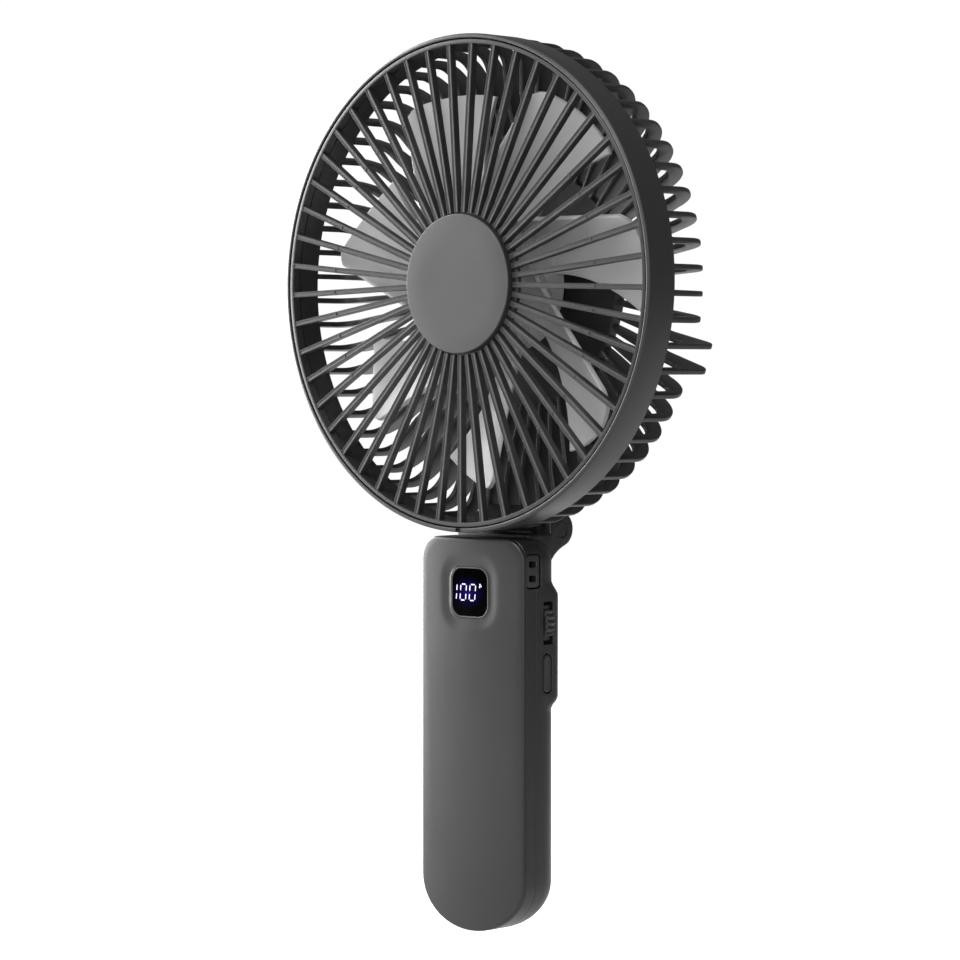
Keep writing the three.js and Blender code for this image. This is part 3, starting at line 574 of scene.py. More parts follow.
# painted highlight: the display's rim is a lighter grey than the shell, standing in for the bright line of
# light along it
RIM = moulded("rim_satin_painted_highlight", 0.07, 0.30, grain=0.2, depth=0.002, edge_highlight=0.5)
BLACK = moulded("black_plastic", 0.010, 0.40, grain=0.2, depth=0.005, edge_highlight=0.2)
NYLON = moulded("nylon", 0.62, 0.5, grain=0.3, depth=0.006, edge_highlight=0.1, warm=0.05)
STEEL = metal("bright_steel", grey(0.58), 0.30)
BRASS = metal("brass", (0.62, 0.42, 0.16, 1), 0.3)
LAMINATE = metal("stator_laminations", grey(0.32), 0.42, brush=(1, 14, 1), scratch=1.5)
MAGNET = moulded("bonded_magnet", 0.055, 0.55, grain=0.4, depth=0.02, edge_highlight=0.2, warm=0.06)
COPPER = winding()
BOARD = circuit()
FOIL = foil()
FOAM = foam()
RED = sleeve("red_sleeve", (0.42, 0.012, 0.012, 1))
BLACK_SLEEVE = sleeve("black_sleeve", grey(0.012))
GLASS = black_glass()
LIT = lit_segment()


# ---- cage ----
def rib_back(radius):
    """How far back the cage's domed rear lies at a radius inside its round corner."""
    edge = RIB_OUTER - RIB_CORNER
    corner_back = RIB_CORNER_Y + RIB_CORNER
    inward = (edge - radius) / (edge - REAR_HUB)
    return corner_back + (REAR_HUB_BACK - corner_back) * math.sin(inward * math.pi / 2)


def rib_outline(is_foot):
    """One rib as a plate in (radius, y): out of the band, round the corner and in to the rear hub."""
    edge = RIB_OUTER - RIB_CORNER
    root = BAND_BACK - 1
    outline = [(BAND_INNER, root), (RIB_OUTER, root)]
    if is_foot:
        outline += arc(RIB_OUTER - FOOT_TIP, FOOT_BACK - FOOT_TIP, FOOT_TIP, 0, 90, 6)
    else:
        outline += arc(edge, RIB_CORNER_Y, RIB_CORNER, 0, 90, 12)
    outline += [(r, rib_back(r)) for r in (mix(edge, REAR_HUB, t) for t in (0.15, 0.35, 0.6, 0.85))]
    outline += [(REAR_HUB - 1, REAR_HUB_BACK - 0.2), (REAR_HUB - 1, REAR_HUB_FRONT + 0.2)]
    inner_edge = RIB_CORNER_Y + RIB_CORNER - RIB_DEPTH
    outline.append((edge - 4, inner_edge + 0.6))
    bend = RIB_CORNER - RIB_DEPTH + 2
    outline += arc(BAND_INNER - bend, RIB_CORNER_Y - 1.8, bend, 90, 0, 10)
    return outline


def cage_band():
    """The cage's front lip and the deep band behind it, as one ring."""
    lip = [(LIP_INNER, LIP_DEPTH), (LIP_INNER, 0.22)]
    lip += arc(LIP_INNER + 0.2, 0.2, 0.2, 180, 270, 3)
    lip += [(HEAD_RADIUS - 0.62, 0.0), (HEAD_RADIUS - 0.22, 0.16), (HEAD_RADIUS - 0.05, 0.36)]
    lip += [(HEAD_RADIUS, 0.62), (HEAD_RADIUS, BAND_BACK - 0.25), (HEAD_RADIUS - 0.12, BAND_BACK)]
    lip += [(BAND_INNER + 0.2, BAND_BACK), (BAND_INNER, BAND_BACK - 0.2), (BAND_INNER, LIP_DEPTH)]
    return solid("cage_moulding", turned(lip, 240, along_y, loop=True))


def ribs():
    """The bent plates behind the band, four of them drawn out into square feet."""
    feet = [degrees % 360 for degrees in FOOT_RIBS]
    pitch = 360 / RIBS
    plates = []
    for i in range(RIBS):
        degrees = pitch / 2 + pitch * i
        outline = rib_outline(degrees in feet)
        plates.append(slab(outline, -RIB_THICKNESS / 2, RIB_THICKNESS / 2, 0.34, beside(degrees)))
    return solid("ribs", *plates)


def rear_hub():
    """The closed disc in the middle of the cage's back, with a shallow groove round its centre."""
    hub = [(0.8, REAR_HUB_FRONT), (REAR_HUB - 0.4, REAR_HUB_FRONT), (REAR_HUB, REAR_HUB_FRONT + 0.4)]
    hub += arc(REAR_HUB - 1.4, REAR_HUB_BACK - 1.4, 1.4, 0, 90, 6)
    hub += [(15.2, REAR_HUB_BACK), (15.0, REAR_HUB_BACK - 0.35), (14.4, REAR_HUB_BACK - 0.35)]
    hub += [(14.2, REAR_HUB_BACK), (6.0, REAR_HUB_BACK - 0.05), (0.8, REAR_HUB_BACK)]
    return solid("hub", turned(hub, 120, along_y))


def ear_rooms():
    """Cutters that clear the ribs and band away from the grip's two hinge ears."""
    room = arc(HINGE.y, HINGE.z, 5.2, 0, 360, 48)[:-1]
    rooms = []
    for side in (-1, 1):
        near, far = side * LUG_HALF, side * (EAR_HALF + 0.6)
        rooms.append(slab(room, *sorted((near, far)), 0, along_x))
    return rooms


def lug_parts():
    """The arm that joins the band to the hinge, and the barrel round the pin."""
    arm = [(HINGE.y, HINGE.z - LUG_RADIUS + 1.2), (HINGE.y, HINGE.z + LUG_RADIUS)]
    arm += [(20.0, -58.2), (9.0, -61.5), (9.0, -64.3), (20.0, -65.1)]
    barrel = arc(HINGE.y, HINGE.z, LUG_RADIUS, 0, 360, 40)[:-1]
    parts = (("lug", arm), ("barrel", barrel))
    return [solid(name, slab(outline, -LUG_HALF, LUG_HALF, 0.4, along_x)) for name, outline in parts]


def cage():
    """The cage's moulding, with a small notch at the bottom of its front lip."""
    shape = united(cage_band(), ribs(), rear_hub())
    cut(shape, *ear_rooms())
    united(shape, *lug_parts())
    notch = slab(rounded(0.9, 1.0, 0.3, -0.2, -HEAD_RADIUS + 0.15), -0.5, 1.2, 0, along_y)
    cut(shape, notch)
    return settle(shape, "head", CAGE, ["rear_grille"])


# ---- front grille ----
def bar_section():
    """A bar's cross-section in (across, y): two fine raised rims with a shallow channel between."""
    half = BAR_WIDTH / 2
    right = [(half, BAR_BACK), (half, BAR_FRONT + 0.16), (half - 0.12, BAR_FRONT)]
    right += [(half - 0.30, BAR_FRONT), (half - 0.42, BAR_FRONT + 0.13), (0.0, BAR_FRONT + 0.16)]
    left = [(-across, y) for across, y in reversed(right[:-1])]
    return right + left


def front_grille():
    """A thin ring and a centre disc joined by straight bars, with a faint raised mark on each bar."""
    ring = [(RING_INNER, BAR_BACK + 0.5), (RING_INNER, 0.35), (RING_INNER + 0.18, 0.17)]
    ring += [(RING_OUTER - 0.25, 0.17), (RING_OUTER - 0.06, 0.25), (RING_OUTER, 0.45)]
    ring += [(RING_OUTER, BAR_BACK + 0.5)]
    grille = solid("front_grille_moulding", turned(ring, 240, along_y, loop=True))
    disc = [(0.8, 1.5), (GRILLE_HUB - 0.3, 1.5), (GRILLE_HUB, 1.8), (GRILLE_HUB, 3.0), (0.8, 3.0)]
    bars, marks = [], []
    section = bar_section()
    for i in range(BARS):
        degrees = -90 + CAGE_TURN * i
        place = outwards(degrees)
        ends = [[place(a, b, h) for a, b in section] for h in (BAR_INNER, RING_INNER + 0.5)]
        bars.append(skin(ends))
        pad = rounded(0.24, BAR_WIDTH / 2 - 0.04, 0.1, MARK_RADIUS, 0, 2)
        lifted = beside(degrees)
        rise = [[lifted(a, y, b) for a, b in pad] for y in (BAR_FRONT - 0.03, BAR_FRONT + 0.5)]
        marks.append(skin(rise))
    united(grille, solid("disc", turned(disc, 98, along_y)), solid("bars", *bars))
    united(grille, solid("marks", *marks))
    return settle(grille, "head", GRILLE, ["front_grille"])


def hub_cap():
    """The satin disc over the middle of the grille, very slightly dished."""
    profile = [(0.4, CAP_FRONT + 0.06), (6.0, CAP_FRONT + 0.055), (12.0, CAP_FRONT + 0.03)]
    profile += [(CAP_RADIUS - 0.75, CAP_FRONT), (CAP_RADIUS - 0.6, CAP_FRONT + 0.01)]
    profile += arc(CAP_RADIUS - 0.34, CAP_FRONT + 0.34, 0.34, 250, 360, 5)
    profile += [(CAP_RADIUS, CAP_BACK - 0.2), (CAP_RADIUS - 0.2, CAP_BACK), (0.4, CAP_BACK)]
    cap = solid("hub_cap_plate", turned(profile, 160, along_y))
    return settle(cap, "head", CAP, ["hub_cap"])


# ---- impeller ----
BLADE_FRONT = 8.0
BLADE_ROOT_PITCH = 11.0
BLADE_TIP_PITCH = 9.5
BLADE_CHORD = 16.6
BLADE_TIP_TAPER = 4.2


def blade_point(degrees, u, v):
    """The blade's middle surface: u from hub to tip, v from its front edge (0) round to its deep edge (1).

    The front edge is a straight chord that passes the axis at BLADE_CHORD, with a round corner at the tip.
    """
    corner = 2.9 * max(0.0, 1 - v / 0.13) ** 2.2
    tip = BLADE_TIP - BLADE_TIP_TAPER * max(v, 0.0) ** 1.5 - corner
    radius = mix(HUB_RADIUS - 0.7, tip, u)
    front_edge = math.degrees(math.asin(min(BLADE_CHORD / radius, 1.0)))
    deep_edge = 7.1 - 0.577 * (radius - 20)
    angle = math.radians(degrees + mix(front_edge, deep_edge, v))
    y = BLADE_FRONT + mix(BLADE_ROOT_PITCH, BLADE_TIP_PITCH, u) * (1 - (1 - v) ** 2)
    return Vector((radius * math.cos(angle), y, radius * math.sin(angle)))


def blade(degrees, across=14, out=10):
    """A thin curved blade, its middle surface thickened along its normal."""
    faces_of = {}
    for side in (-0.5, 0.5):
        for i in range(out + 1):
            for j in range(across + 1):
                u, v = i / out, (j / across) ** 1.4
                here = blade_point(degrees, u, v)
                along = blade_point(degrees, u + 0.01, v) - blade_point(degrees, u - 0.01, v)
                over = blade_point(degrees, u, v + 0.01) - blade_point(degrees, u, v - 0.01)
                normal = along.cross(over).normalized()
                faces_of[side, i, j] = tuple(here + normal * side * BLADE_THICKNESS)
    order = {key: n for n, key in enumerate(faces_of)}
    faces = []
    for side in (-0.5, 0.5):
        for i in range(out):
            for j in range(across):
                quad = [(i, j), (i + 1, j), (i + 1, j + 1), (i, j + 1)]
                faces.append([order[side, a, b] for a, b in quad])
    rim = [(i, 0) for i in range(out)] + [(out, j) for j in range(across)]
    rim += [(i, across) for i in range(out, 0, -1)] + [(0, j) for j in range(across, 0, -1)]
    for (a, b), (c, d) in zip(rim, rim[1:] + rim[:1]):
        faces.append([order[-0.5, a, b], order[-0.5, c, d], order[0.5, c, d], order[0.5, a, b]])
    return list(faces_of.values()), faces


def impeller():
    """The hollow hub that hides the motor, with its curved blades."""
    cup = [(0.8, HUB_FRONT), (HUB_RADIUS - 1.2, HUB_FRONT)]
    cup += arc(HUB_RADIUS - 1.2, HUB_FRONT + 1.2, 1.2, 285, 360, 5)
    cup += [(HUB_RADIUS, HUB_BACK - 0.2), (HUB_RADIUS - 0.2, HUB_BACK), (HUB_RADIUS - 1.2, HUB_BACK)]
    cup += [(HUB_RADIUS - 1.4, HUB_BACK - 0.2), (HUB_RADIUS - 1.4, HUB_FRONT + 1.4)]
    cup += [(1.3, HUB_FRONT + 1.4), (0.8, HUB_FRONT + 1.4)]
    rotor = solid("impeller_moulding", turned(cup, 140, along_y))
    pitch = 360 / BLADES
    blades = []
    for i in range(BLADES):
        one = solid("blade", blade(pitch * i))
        bevel = one.modifiers.new("edges", "BEVEL")
        bevel.width = 0.26
        bevel.segments = 3
        bevel.limit_method = "ANGLE"
        bevel.angle_limit = math.radians(50)
        blades.append(applied(one))
    united(rotor, *blades)
    return settle(rotor, "fan_rotor", BLADE, ["impeller"])


# ---- grip ----
def side_stations():
    """Shares of the way down the grip's straight sides, close together beside the display and controls."""
    close = [0.5 * i / 40 for i in range(41)]
    wide = [0.5 + 0.5 * i / 10 for i in range(1, 11)]
    return close + wide


def grip_outline(side_in, top_in, end_in, corner):
    """The grip's front outline, pulled in, as (x, z, normal x, normal z) from its right top corner round."""
    half = GRIP_HALF - side_in
    top = GRIP_TOP - top_in
    end = max(END_HEIGHT - end_in, 0.5)
    end_z = GRIP_BOTTOM + END_HEIGHT
    points = []
    for centre_x, start in ((half - corner, 0), (corner - half, 90)):
        for x, z in arc(centre_x, top - corner, corner, start, start + 90, 8):
            points.append((x, z, (x - centre_x) / corner, (z - top + corner) / corner))
        if start == 0:
            for i in range(1, 14):
                points.append((mix(half - corner, corner - half, i / 14), top, 0.0, 1.0))
    stations = side_stations()[1:-1]
    for t in stations:
        points.append((-half, mix(top - corner, end_z, t), -1.0, 0.0))
    for x, z in arc(0, end_z, half, 180, 360, 36, end):
        points.append((x, z, x / half, (z - end_z) / end))
    for t in reversed(stations):
        points.append((half, mix(top - corner, end_z, t), 1.0, 0.0))
    return points


def square_radius(angle, half, corner):
    """How far a rounded square's edge is from its centre in a direction."""
    c, s = abs(math.cos(angle)), abs(math.sin(angle))
    flat = half / max(c, s)
    inner = half - corner
    if min(c, s) * flat <= inner:
        return flat
    along = inner * (c + s)
    return along + math.sqrt(max(along * along - 2 * inner * inner + corner * corner, 0.0))


def display_ring(outline, spread, y):
    """Points round the display's opening, spread wider, one for each point of the grip's outline."""
    ring = []
    for x, z, _, _ in outline:
        angle = math.atan2(z - DISPLAY.z, x - DISPLAY.x)
        far = square_radius(angle, BEZEL_HALF + BEZEL_GAP + spread, BEZEL_CORNER + BEZEL_GAP + spread)
        ring.append((DISPLAY.x + far * math.cos(angle), y, DISPLAY.z + far * math.sin(angle)))
    return ring


def level_ring(inset, y):
    """The grip's outline pulled in by inset, lying flat at y."""
    outline = grip_outline(inset, inset, inset, TOP_CORNER - inset)
    return [(x, y, z) for x, z, _, _ in outline]


def crowned(ring):
    """A ring on the front face, which falls away a little towards its sides."""
    return [(x, y + FACE_CROWN * (x / GRIP_HALF) ** 2, z) for x, y, z in ring]


def dimple_rings(base, depth):
    """From inside the shell up the wall of the display's opening, then out over the dimple."""
    bevel = 0.06
    rings = [
        display_ring(base, 0, GRIP_FRONT + WALL + depth),
        display_ring(base, 0, GRIP_FRONT + depth + 0.3),
        display_ring(base, bevel, GRIP_FRONT + depth + bevel),
    ]
    for k in range(1, 11):
        t = k / 10
        sunk = depth * (1 - smooth(t)) + 0.02
        y = GRIP_FRONT + sunk * (1 - t * t * t)
        rings.append(crowned(display_ring(base, bevel + DIMPLE_WIDTH * t, y)))
    return rings


def face_rings(dimple_rim):
    """Across the face, from the dimple's rim part way to the face's rounded edge."""
    rings = []
    for t in (0.2, 0.45, 0.75):
        ring = []
        for (x, _, z), (far_x, _, far_z) in zip(dimple_rim, level_ring(FRONT_EDGE, GRIP_FRONT)):
            ring.append((mix(x, far_x, t), GRIP_FRONT, mix(z, far_z, t)))
        rings.append(crowned(ring))
    return rings


def edge_rings():
    """Over the face's rounded edge, then across the fine line that runs round the sides below it."""
    rings = []
    for k in range(6):
        turn = math.radians(18 * k)
        inset = FRONT_EDGE * (1 - math.sin(turn))
        rings.append(crowned(level_ring(inset, GRIP_FRONT + FRONT_EDGE * (1 - math.cos(turn)))))
    for inset, below in ((EDGE_LINE, 0.06), (EDGE_LINE, 0.22), (0, 0.28)):
        rings.append(crowned(level_ring(inset, GRIP_FRONT + FRONT_EDGE + below)))
    return rings


def front_shell():
    """The grip's front shell, with a dimple round the display's opening."""
    depth = BEZEL_FRONT - GRIP_FRONT
    rings = dimple_rings(grip_outline(0, 0, 0, TOP_CORNER), depth)
    rings += face_rings(rings[-1])
    rings += edge_rings()
    seam = PARTING_FRONT + SEAM_CLOSE
    inside = GRIP_FRONT + WALL + depth
    for inset, y in ((0, seam - SEAM_BEVEL), (SEAM_BEVEL, seam), (WALL, seam), (WALL, inside)):
        rings.append(level_ring(inset, y))
    shell = solid("front_shell_moulding", skin(rings, loop=True))
    cut(shell, strap_pocket())
    return settle(shell, "grip", SHELL, ["front_shell"], sharp=40)


def back_round(z):
    """The radius of the side's rear edge: small along the pod that holds the controls."""
    start_top, end_top, start_low, end_low = POD_RAMPS
    into = smooth((start_top - z) / (start_top - end_top))
    out = smooth((z - end_low) / (start_low - end_low))
    return mix(SIDE_ROUND, POD_ROUND, min(into, out))


def back_ring(t, inset, steps_back=0.0):
    """The rear shell's ring part way round its back edge, t from 0 on the sides to 1 on the flat back."""
    turn = math.radians(90 * t)
    inward = 1 - math.cos(turn)
    short = 1 - math.sin(turn)
    top_in = inset + (TOP_ROUND_IN - inset / 2) * inward
    end_in = inset + (END_ROUND_IN - inset / 2) * inward
    side_in = inset + (SIDE_ROUND - inset) * inward
    corner = mix(TOP_CORNER, 3.0, t) - inset * (1 - t)
    ring = []
    for x, z, across, up in grip_outline(side_in, top_in, end_in, corner):
        round_here = back_round(z) if inset == 0 else SIDE_ROUND - inset
        if abs(across) == 1.0:
            x = math.copysign(GRIP_HALF - inset - round_here * inward, x)
        upright = TOP_ROUND_DEEP if up > 0 else END_ROUND_DEEP
        depth = across * across * round_here + up * up * max(upright - inset, 1.0)
        ring.append((x, GRIP_BACK - steps_back - depth * short, z))
    return ring


def neck_outline():
    """The hinge neck and ear in (y, z): a flat top, a step up to the ear, round it and down to the back."""
    outline = [(13.0, -76.0), (13.0, NECK_TOP), (21.75, NECK_TOP), (22.0, NECK_TOP + 0.25)]
    outline += arc(HINGE.y, HINGE.z, EAR_RADIUS, 157.6, -60, 30)
    bend = [(28.5, -68.70), (25.6, -69.85), (23.2, -71.1), (21.7, -74.0)]
    for k in range(1, 11):
        t = k / 10
        parts = [(1 - t) ** 3, 3 * t * (1 - t) ** 2, 3 * t * t * (1 - t), t ** 3]
        outline.append(tuple(sum(p * point[axis] for p, point in zip(parts, bend)) for axis in (0, 1)))
    outline.append((20.4, -76.5))
    return outline


def neck():
    """The hinge neck, with a slot through its middle for the head's barrel."""
    ears = solid("neck", slab(neck_outline(), -EAR_HALF, EAR_HALF, 0.55, along_x, 4))
    gap = arc(HINGE.y, HINGE.z, EAR_RADIUS + SLOT_ROOM, 0, 360, 64)[:-1]
    return cut(ears, slab(gap, -SLOT_HALF, SLOT_HALF, 0, along_x))


def strap_pocket():
    """The cutter for the strap frame's pocket, taken out of both shells."""
    half_wide, half_long = STRAP_SIZE.y / 2 + CONTROL_GAP, STRAP_SIZE.z / 2 + CONTROL_GAP
    hole = rounded(half_wide, half_long, 1.3, STRAP.y, STRAP.z)
    return flared(hole, GRIP_HALF - 3, GRIP_HALF, 0.12, along_x)


def rear_cutters():
    """The cutters for the wheel, the button, the socket, the strap, the pin's caps and the screws."""
    window = rounded(1.85, 5.6, 0.55, WHEEL.y - 0.1, WHEEL.z)
    half_wide, half_long = BUTTON_HALF_WIDE + CONTROL_GAP, BUTTON_HALF_LONG + CONTROL_GAP
    slot = rounded(half_wide, half_long, BUTTON_HALF_WIDE + 0.2, BUTTON_Y, BUTTON_Z, 8)
    half_wide, half_long = USB_SIZE.y / 2 + USB_GAP, USB_SIZE.z / 2 + USB_GAP
    socket = rounded(half_wide, half_long, USB_SIZE.y / 2 + 0.01, USB.y, USB.z, 8)
    deep = GRIP_HALF - 4.5
    cutters = [
        flared(window, deep, GRIP_HALF, 0.16, along_x),
        flared(slot, deep, GRIP_HALF, 0.16, along_x),
        flared(socket, -deep, -GRIP_HALF, 0.2, along_x),
        strap_pocket(),
    ]
    for name, side in (("left", -1), ("right", 1)):
        seat = arc(HINGE.y, HINGE.z, PIN_CAP_RADIUS + 0.14, 0, 360, 48)[:-1]
        cutters.append(flared(seat, side * (EAR_HALF - 0.9), side * EAR_HALF, 0.06, along_x))
        screw = middle(f"case_screw_{name}")
        bore = arc(screw.x, screw.z, 2.4, 0, 360, 40)[:-1]
        cutters.append(flared(bore, GRIP_BACK - 4.6, GRIP_BACK, 0.2, along_y))
    return cutters


def rear_shell():
    """The grip's rear shell, with its pod for the controls and the hinge neck at its top."""
    rings = [back_ring(t, WALL, WALL * t) for t in (1.0, 0.75, 0.5, 0.25, 0.0)]
    seam = PARTING_BACK - SEAM_CLOSE
    for inset, y in ((WALL, seam), (SEAM_BEVEL, seam), (0, seam + SEAM_BEVEL)):
        rings.append(level_ring(inset, y))
    rings += [back_ring(k / 10, 0) for k in range(11)]
    shell = solid("rear_shell_moulding", skin(rings))
    united(shell, neck())
    cut(shell, *rear_cutters())
    return settle(shell, "grip", SHELL, ["rear_shell"], sharp=40)


def pin_caps():
    """The round caps over the two ends of the hinge pin."""
    for name, side in (("left", -1), ("right", 1)):
        face = side * (EAR_HALF - 0.05)
        profile = [(0.3, face - side * 0.6), (PIN_CAP_RADIUS, face - side * 0.6)]
        profile += [(PIN_CAP_RADIUS, face - side * 0.12), (PIN_CAP_RADIUS - 0.12, face), (0.3, face)]
        cap = solid(f"pin_cover_{name}", turned(profile, 60, along_x, a=HINGE.y, b=HINGE.z))
        settle(cap, "grip", SHELL, [f"pin_cap_{name}"])


def case_screws():
    """Cross-recessed pan heads at the bottom of their bores in the rear shell."""
    for side in ("left", "right"):
        node = f"case_screw_{side}"
        low, high = span(node)
        x, z = (low.x + high.x) / 2, (low.z + high.z) / 2
        head = (high.x - low.x) / 2
        back = high.y
        profile = [(0.3, low.y), (0.9, low.y + 0.4), (1.15, low.y + 1.4), (1.15, back - 1.6)]
        profile += [(head, back - 1.5), (head, back - 0.7), (head - 0.25, back - 0.3)]
        profile += [(head - 0.8, back - 0.06), (0.3, back)]
        screw = solid(f"case_screw_{side}_steel", turned(profile, 48, along_y, a=x, b=z))
        arms = [rounded(1.15, 0.22, 0.08, x, z, 2), rounded(0.22, 1.15, 0.08, x, z, 2)]
        cut(screw, *[slab(arm, back - 0.75, back + 0.5, 0, along_y) for arm in arms])
        settle(screw, "grip", STEEL, [node])


# ---- display ----
def square_ring(half, corner, y):
    return [(DISPLAY.x + a, y, DISPLAY.z + b) for a, b in rounded(half, half, corner, steps=10)]


def display():
    """The display's narrow rim, its dark pane and the lit digits in its face."""
    front, back = BEZEL_FRONT, span("display_bezel")[1].y
    section = [(0, back), (0, front + 0.12), (0.07, front + 0.02), (0.16, front)]
    section += [(BEZEL_RIM - 0.1, front + 0.03), (BEZEL_RIM, front + 0.14), (BEZEL_RIM, back)]
    rings = [square_ring(BEZEL_HALF - inset, BEZEL_CORNER - inset, y) for inset, y in section]
    bezel = solid("display_rim", skin(rings, loop=True))
    settle(bezel, "grip", RIM, ["display_bezel"])
    low, high = span("display_window")
    low.y -= DISPLAY_RAISE
    half = BEZEL_HALF - BEZEL_RIM - PANE_GAP
    corner = BEZEL_CORNER - BEZEL_RIM - PANE_GAP
    layers = [(0.0, high.y), (0.0, low.y + 0.12), (0.1, low.y + 0.02), (0.3, low.y)]
    pane = solid("display_pane", skin([square_ring(half - i, corner - i, y) for i, y in layers]))
    settle(pane, "grip", GLASS, ["display_window"])
    digits(low.y)


DIGIT_TALL = 4.6
SEGMENT = 0.34
SLANT = math.tan(math.radians(5))


def segment(x, z, along, upright):
    """A lit bar with pointed ends, leaning with the digits, about (x, z) from the display's centre."""
    half, thick = along / 2, SEGMENT / 2
    shape = [(-half, 0), (-half + thick, thick), (half - thick, thick)]
    shape += [(half, 0), (half - thick, -thick), (thick - half, -thick)]
    if upright:
        shape = [(-b, a) for a, b in shape]
    return [(DISPLAY.x + x + a + (z + b) * SLANT, DISPLAY.z + z + b) for a, b in shape]


def digits(glass):
    """A generic battery reading of 100 with a small mark beside it, in lit segments."""
    outlines = []
    quarter = DIGIT_TALL / 4
    upright = DIGIT_TALL / 2 - 0.75
    for z in (-quarter, quarter):
        outlines.append(segment(-4.7, z, upright, True))
    for centre in (-2.35, 0.95):
        for x in (centre - 1.0, centre + 1.0):
            for z in (-quarter, quarter):
                outlines.append(segment(x, z, upright, True))
        for z in (-DIGIT_TALL / 2 + 0.2, DIGIT_TALL / 2 - 0.2):
            outlines.append(segment(centre, z, 1.45, False))
    mark = DIGIT_TALL / 2 - 0.5
    outlines.append(segment(3.5, mark + 0.42, 0.62, False))
    outlines.append(segment(3.45, mark - 0.15, 0.9, True))
    outlines.append(segment(3.9, mark - 0.05, 0.6, True))
    bars = [slab(outline, glass - 0.03, glass + 0.1, 0.02, along_y, 1) for outline in outlines]
    settle(solid("display_digits", *bars), "grip", LIT)


# ---- controls ----
def power_button():
    """A long pill with a very slightly dished face, and a wider shoulder inside the shell."""
    outline = rounded(BUTTON_HALF_WIDE, BUTTON_HALF_LONG, BUTTON_HALF_WIDE - 0.05, BUTTON_Y, BUTTON_Z, 10)
    deep, face = BUTTON_LOW.x, BUTTON_HIGH.x
    stack = [(-0.7, deep), (-0.7, deep + 0.5), (0, deep + 0.5), (0, face - 0.45), (0.1, face - 0.15)]
    stack += [(0.3, face - 0.02), (0.5, face), (1.0, face - 0.08)]
    rings = [[along_x(a, b, h) for a, b in pulled_in(outline, inset)] for inset, h in stack]
    button = solid("power_button_cap", skin(rings))
    settle(button, "power_button", TRIM, ["power_button"])


def speed_wheel():
    """The knurled thumb wheel, with a shallow recess in its front side."""
    radius = WHEEL_SIZE.x / 2
    teeth = 24
    knurl = 0.28
    outline = []
    for i in range(teeth * 8):
        wave = math.cos(2 * math.pi * i / 8)
        reach = radius - knurl + knurl * math.copysign(abs(wave) ** 0.6, wave)
        turn = 2 * math.pi * i / (teeth * 8)
        outline.append((WHEEL.x + reach * math.cos(turn), WHEEL.z + reach * math.sin(turn)))
    low, high = WHEEL.y - WHEEL_SIZE.y / 2, WHEEL.y + WHEEL_SIZE.y / 2
    wheel = solid("speed_wheel_rim", slab(outline, low, high, 0.3, along_y, 3))
    bore = arc(WHEEL.x, WHEEL.z, 1.5, 0, 360, 40)[:-1]
    recess = arc(WHEEL.x, WHEEL.z, radius - 2.0, 0, 360, 64)[:-1]
    cut(wheel, slab(bore, low - 1, high + 1, 0, along_y), slab(recess, low - 1, low + 0.5, 0, along_y))
    settle(wheel, "speed_wheel", TRIM, ["speed_wheel"])


def strap_frame():
    """A recessed plate with two slots that a wrist strap threads through."""
    face = STRAP.x + STRAP_SIZE.x / 2
    deep = face - STRAP_SIZE.x
    plate = rounded(STRAP_SIZE.y / 2, STRAP_SIZE.z / 2, 1.1, STRAP.y, STRAP.z, 8)
    shape = solid("strap_plate", slab(plate, deep, face, 0.3, along_x, 4))
    slots = []
    for side in (-1, 1):
        hole = rounded(1.35, 0.8, 0.42, STRAP.y, STRAP.z + side * 1.85)
        slots.append(flared(hole, deep - 1, face, 0.14, along_x))
    cut(shape, *slots)
    settle(shape, "grip", TRIM, ["strap_frame"])


def usb_socket():
    """A USB-C receptacle: a folded steel shell with its tongue, sunk in the grip's left side."""
    low, high = span("usb_c_socket")
    half_wide, half_long = USB_SIZE.y / 2, USB_SIZE.z / 2
    outer = rounded(half_wide, half_long, half_wide - 0.05, USB.y, USB.z, 8)
    wall = 0.35
    stack = [(0, high.x), (0, low.x + 0.1), (0.1, low.x), (wall - 0.1, low.x), (wall, low.x + 0.1)]
    stack += [(wall, high.x - 1.0)]
    rings = [[along_x(a, b, h) for a, b in pulled_in(outer, inset)] for inset, h in stack]
    shell = solid("usb_c_shell", skin(rings))
    settle(shell, "grip", STEEL, ["usb_c_socket"])
    outline = rounded(0.35, 3.2, 0.15, USB.y, USB.z, 3)
    tongue = solid("usb_c_tongue", slab(outline, low.x + 1.0, high.x - 0.9, 0.1, along_x, 2))
    settle(tongue, "grip", BLACK)


# ---- carried CAD pieces ----
def dress_carried():
    """Finishes for the pieces shown just as the CAD has them; the ones not listed are steel."""
    looks = {
        "display_module": BLACK, "circuit_board": BOARD, "battery_cell": FOIL, "battery_foam": FOAM,
        "battery_lead_positive": RED, "battery_lead_negative": BLACK_SLEEVE, "wheel_encoder": BLACK,
        "power_switch": BLACK, "bearing_tube": BRASS, "stator_core": LAMINATE, "motor_board": BOARD,
        "magnet_ring": MAGNET,
    }
    by_start = {"stator_coil": COPPER, "motor_post": NYLON}
    for name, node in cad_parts.items():
        if node.hide_render:
            continue
        look = looks.get(name)
        for start, other in by_start.items():
            if name.startswith(start):
                look = other
        node.data.materials.clear()
        node.data.materials.append(look or STEEL)


# ---- studio ----
def aimed(name, data, target, azimuth, elevation, distance):
    """A new object that faces the target from a distance in metres, in a direction in degrees."""
    a, e = math.radians(azimuth), math.radians(elevation)
    back = Vector((math.sin(a) * math.cos(e), -math.cos(a) * math.cos(e), math.sin(e)))
    placed = bpy.data.objects.new(name, data)
    placed.location = target + back * distance
    placed.rotation_mode = "QUATERNION"
    placed.rotation_quaternion = (-back).to_track_quat("-Z", "Y")
    bpy.context.scene.collection.objects.link(placed)
    return placed


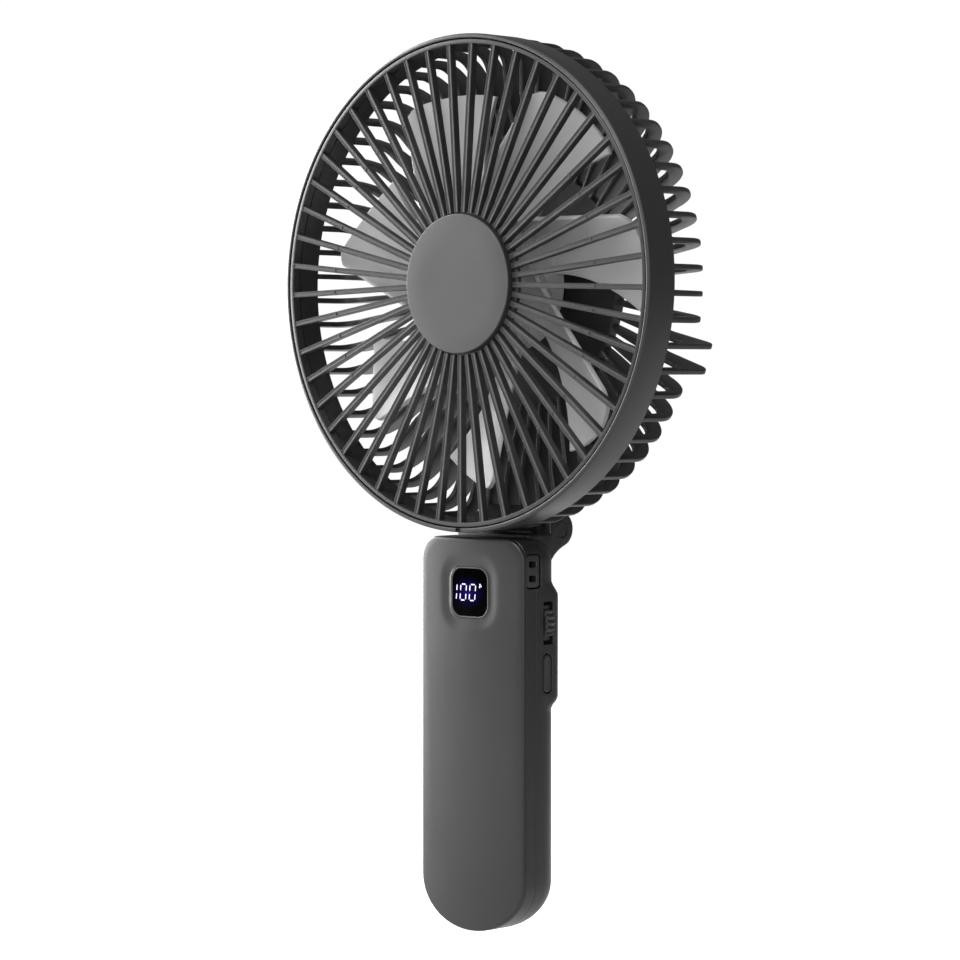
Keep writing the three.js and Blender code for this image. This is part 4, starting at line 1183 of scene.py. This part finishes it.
def camera():
    """The photo's viewpoint, from the fit to the cage's circle and bars."""
    data = bpy.data.cameras.new("camera")
    data.lens = 125.6
    data.sensor_width = 36
    target = CENTRE + Vector((7.70, 0, -51.08)) * MM
    view = aimed("camera", data, target, azimuth=42.93, elevation=1.82, distance=0.870)
    bpy.context.scene.camera = view


def softbox(name, azimuth, elevation, distance, wide, tall, watts):
    """A large area light aimed at the fan, placed by its direction from it in degrees."""
    data = bpy.data.lights.new(name, "AREA")
    data.shape = "RECTANGLE"
    data.size = wide
    data.size_y = tall
    data.energy = watts
    aimed(name, data, (cad_low + cad_high) / 2, azimuth, elevation, distance)


def studio():
    """Five softboxes and a pale surround, which the camera sees as plain white."""
    softbox("key", -86, 16, 1.15, 1.25, 0.9, 50)
    softbox("front", -4, 34, 1.2, 0.6, 0.6, 9)
    softbox("near", 38, 9, 1.2, 0.22, 0.5, 2.6)
    softbox("under", 100, -24, 1.0, 0.5, 0.4, 2.2)
    softbox("top", 60, 76, 1.1, 0.7, 0.7, 4)
    world = bpy.data.worlds.new("studio")
    world.use_nodes = True
    nodes, links = world.node_tree.nodes, world.node_tree.links
    soft = nodes["Background"]
    soft.inputs["Color"].default_value = (1, 1, 1, 1)
    soft.inputs["Strength"].default_value = 0.16
    bright = nodes.new("ShaderNodeBackground")
    bright.inputs["Color"].default_value = (1, 1, 1, 1)
    bright.inputs["Strength"].default_value = 1.02
    either = nodes.new("ShaderNodeMixShader")
    links.new(nodes.new("ShaderNodeLightPath").outputs["Is Camera Ray"], either.inputs[0])
    links.new(soft.outputs[0], either.inputs[1])
    links.new(bright.outputs[0], either.inputs[2])
    links.new(either.outputs[0], nodes["World Output"].inputs["Surface"])
    bpy.context.scene.world = world
    bpy.context.scene.view_settings.view_transform = "Standard"


def folded_low():
    """The lowest height the fan reaches: the cage's rim, once the head hangs down behind the grip."""
    hinge = (CENTRE + HINGE * MM).z
    return min(cad_low.z, 2 * hinge - cad_high.z)


def floor():
    """A plain pale sheet, lit from within as well so that it stays pale out to the horizon."""
    half = 6.0
    corners = ((-half, -half), (half, -half), (half, half), (-half, half))
    top = folded_low() - 0.0005
    rings = [[(x, y, z) for x, y in corners] for z in (top - 0.012, top)]
    points, faces = skin(rings)
    mesh = bpy.data.meshes.new("floor")
    mesh.from_pydata(points, [], faces)
    ground = bpy.data.objects.new("floor", mesh)
    bpy.context.scene.collection.objects.link(ground)
    n = Nodes("pale_floor")
    seen = n.add("ShaderNodeLightPath").outputs["Is Camera Ray"]
    n.set(
        Base_Color=n.mixed(n.noise(300, 3.0), grey(0.50), grey(0.54)),
        Roughness=0.9,
        Specular_IOR_Level=0.0,
        Emission_Color=grey(1.0),
        Emission_Strength=n.ranged(seen, 0.10, 0.93),
    )
    mesh.materials.append(n.material)


cage()
front_grille()
hub_cap()
impeller()
front_shell()
rear_shell()
pin_caps()
case_screws()
display()
power_button()
speed_wheel()
strap_frame()
usb_socket()
dress_carried()
camera()
studio()
floor()
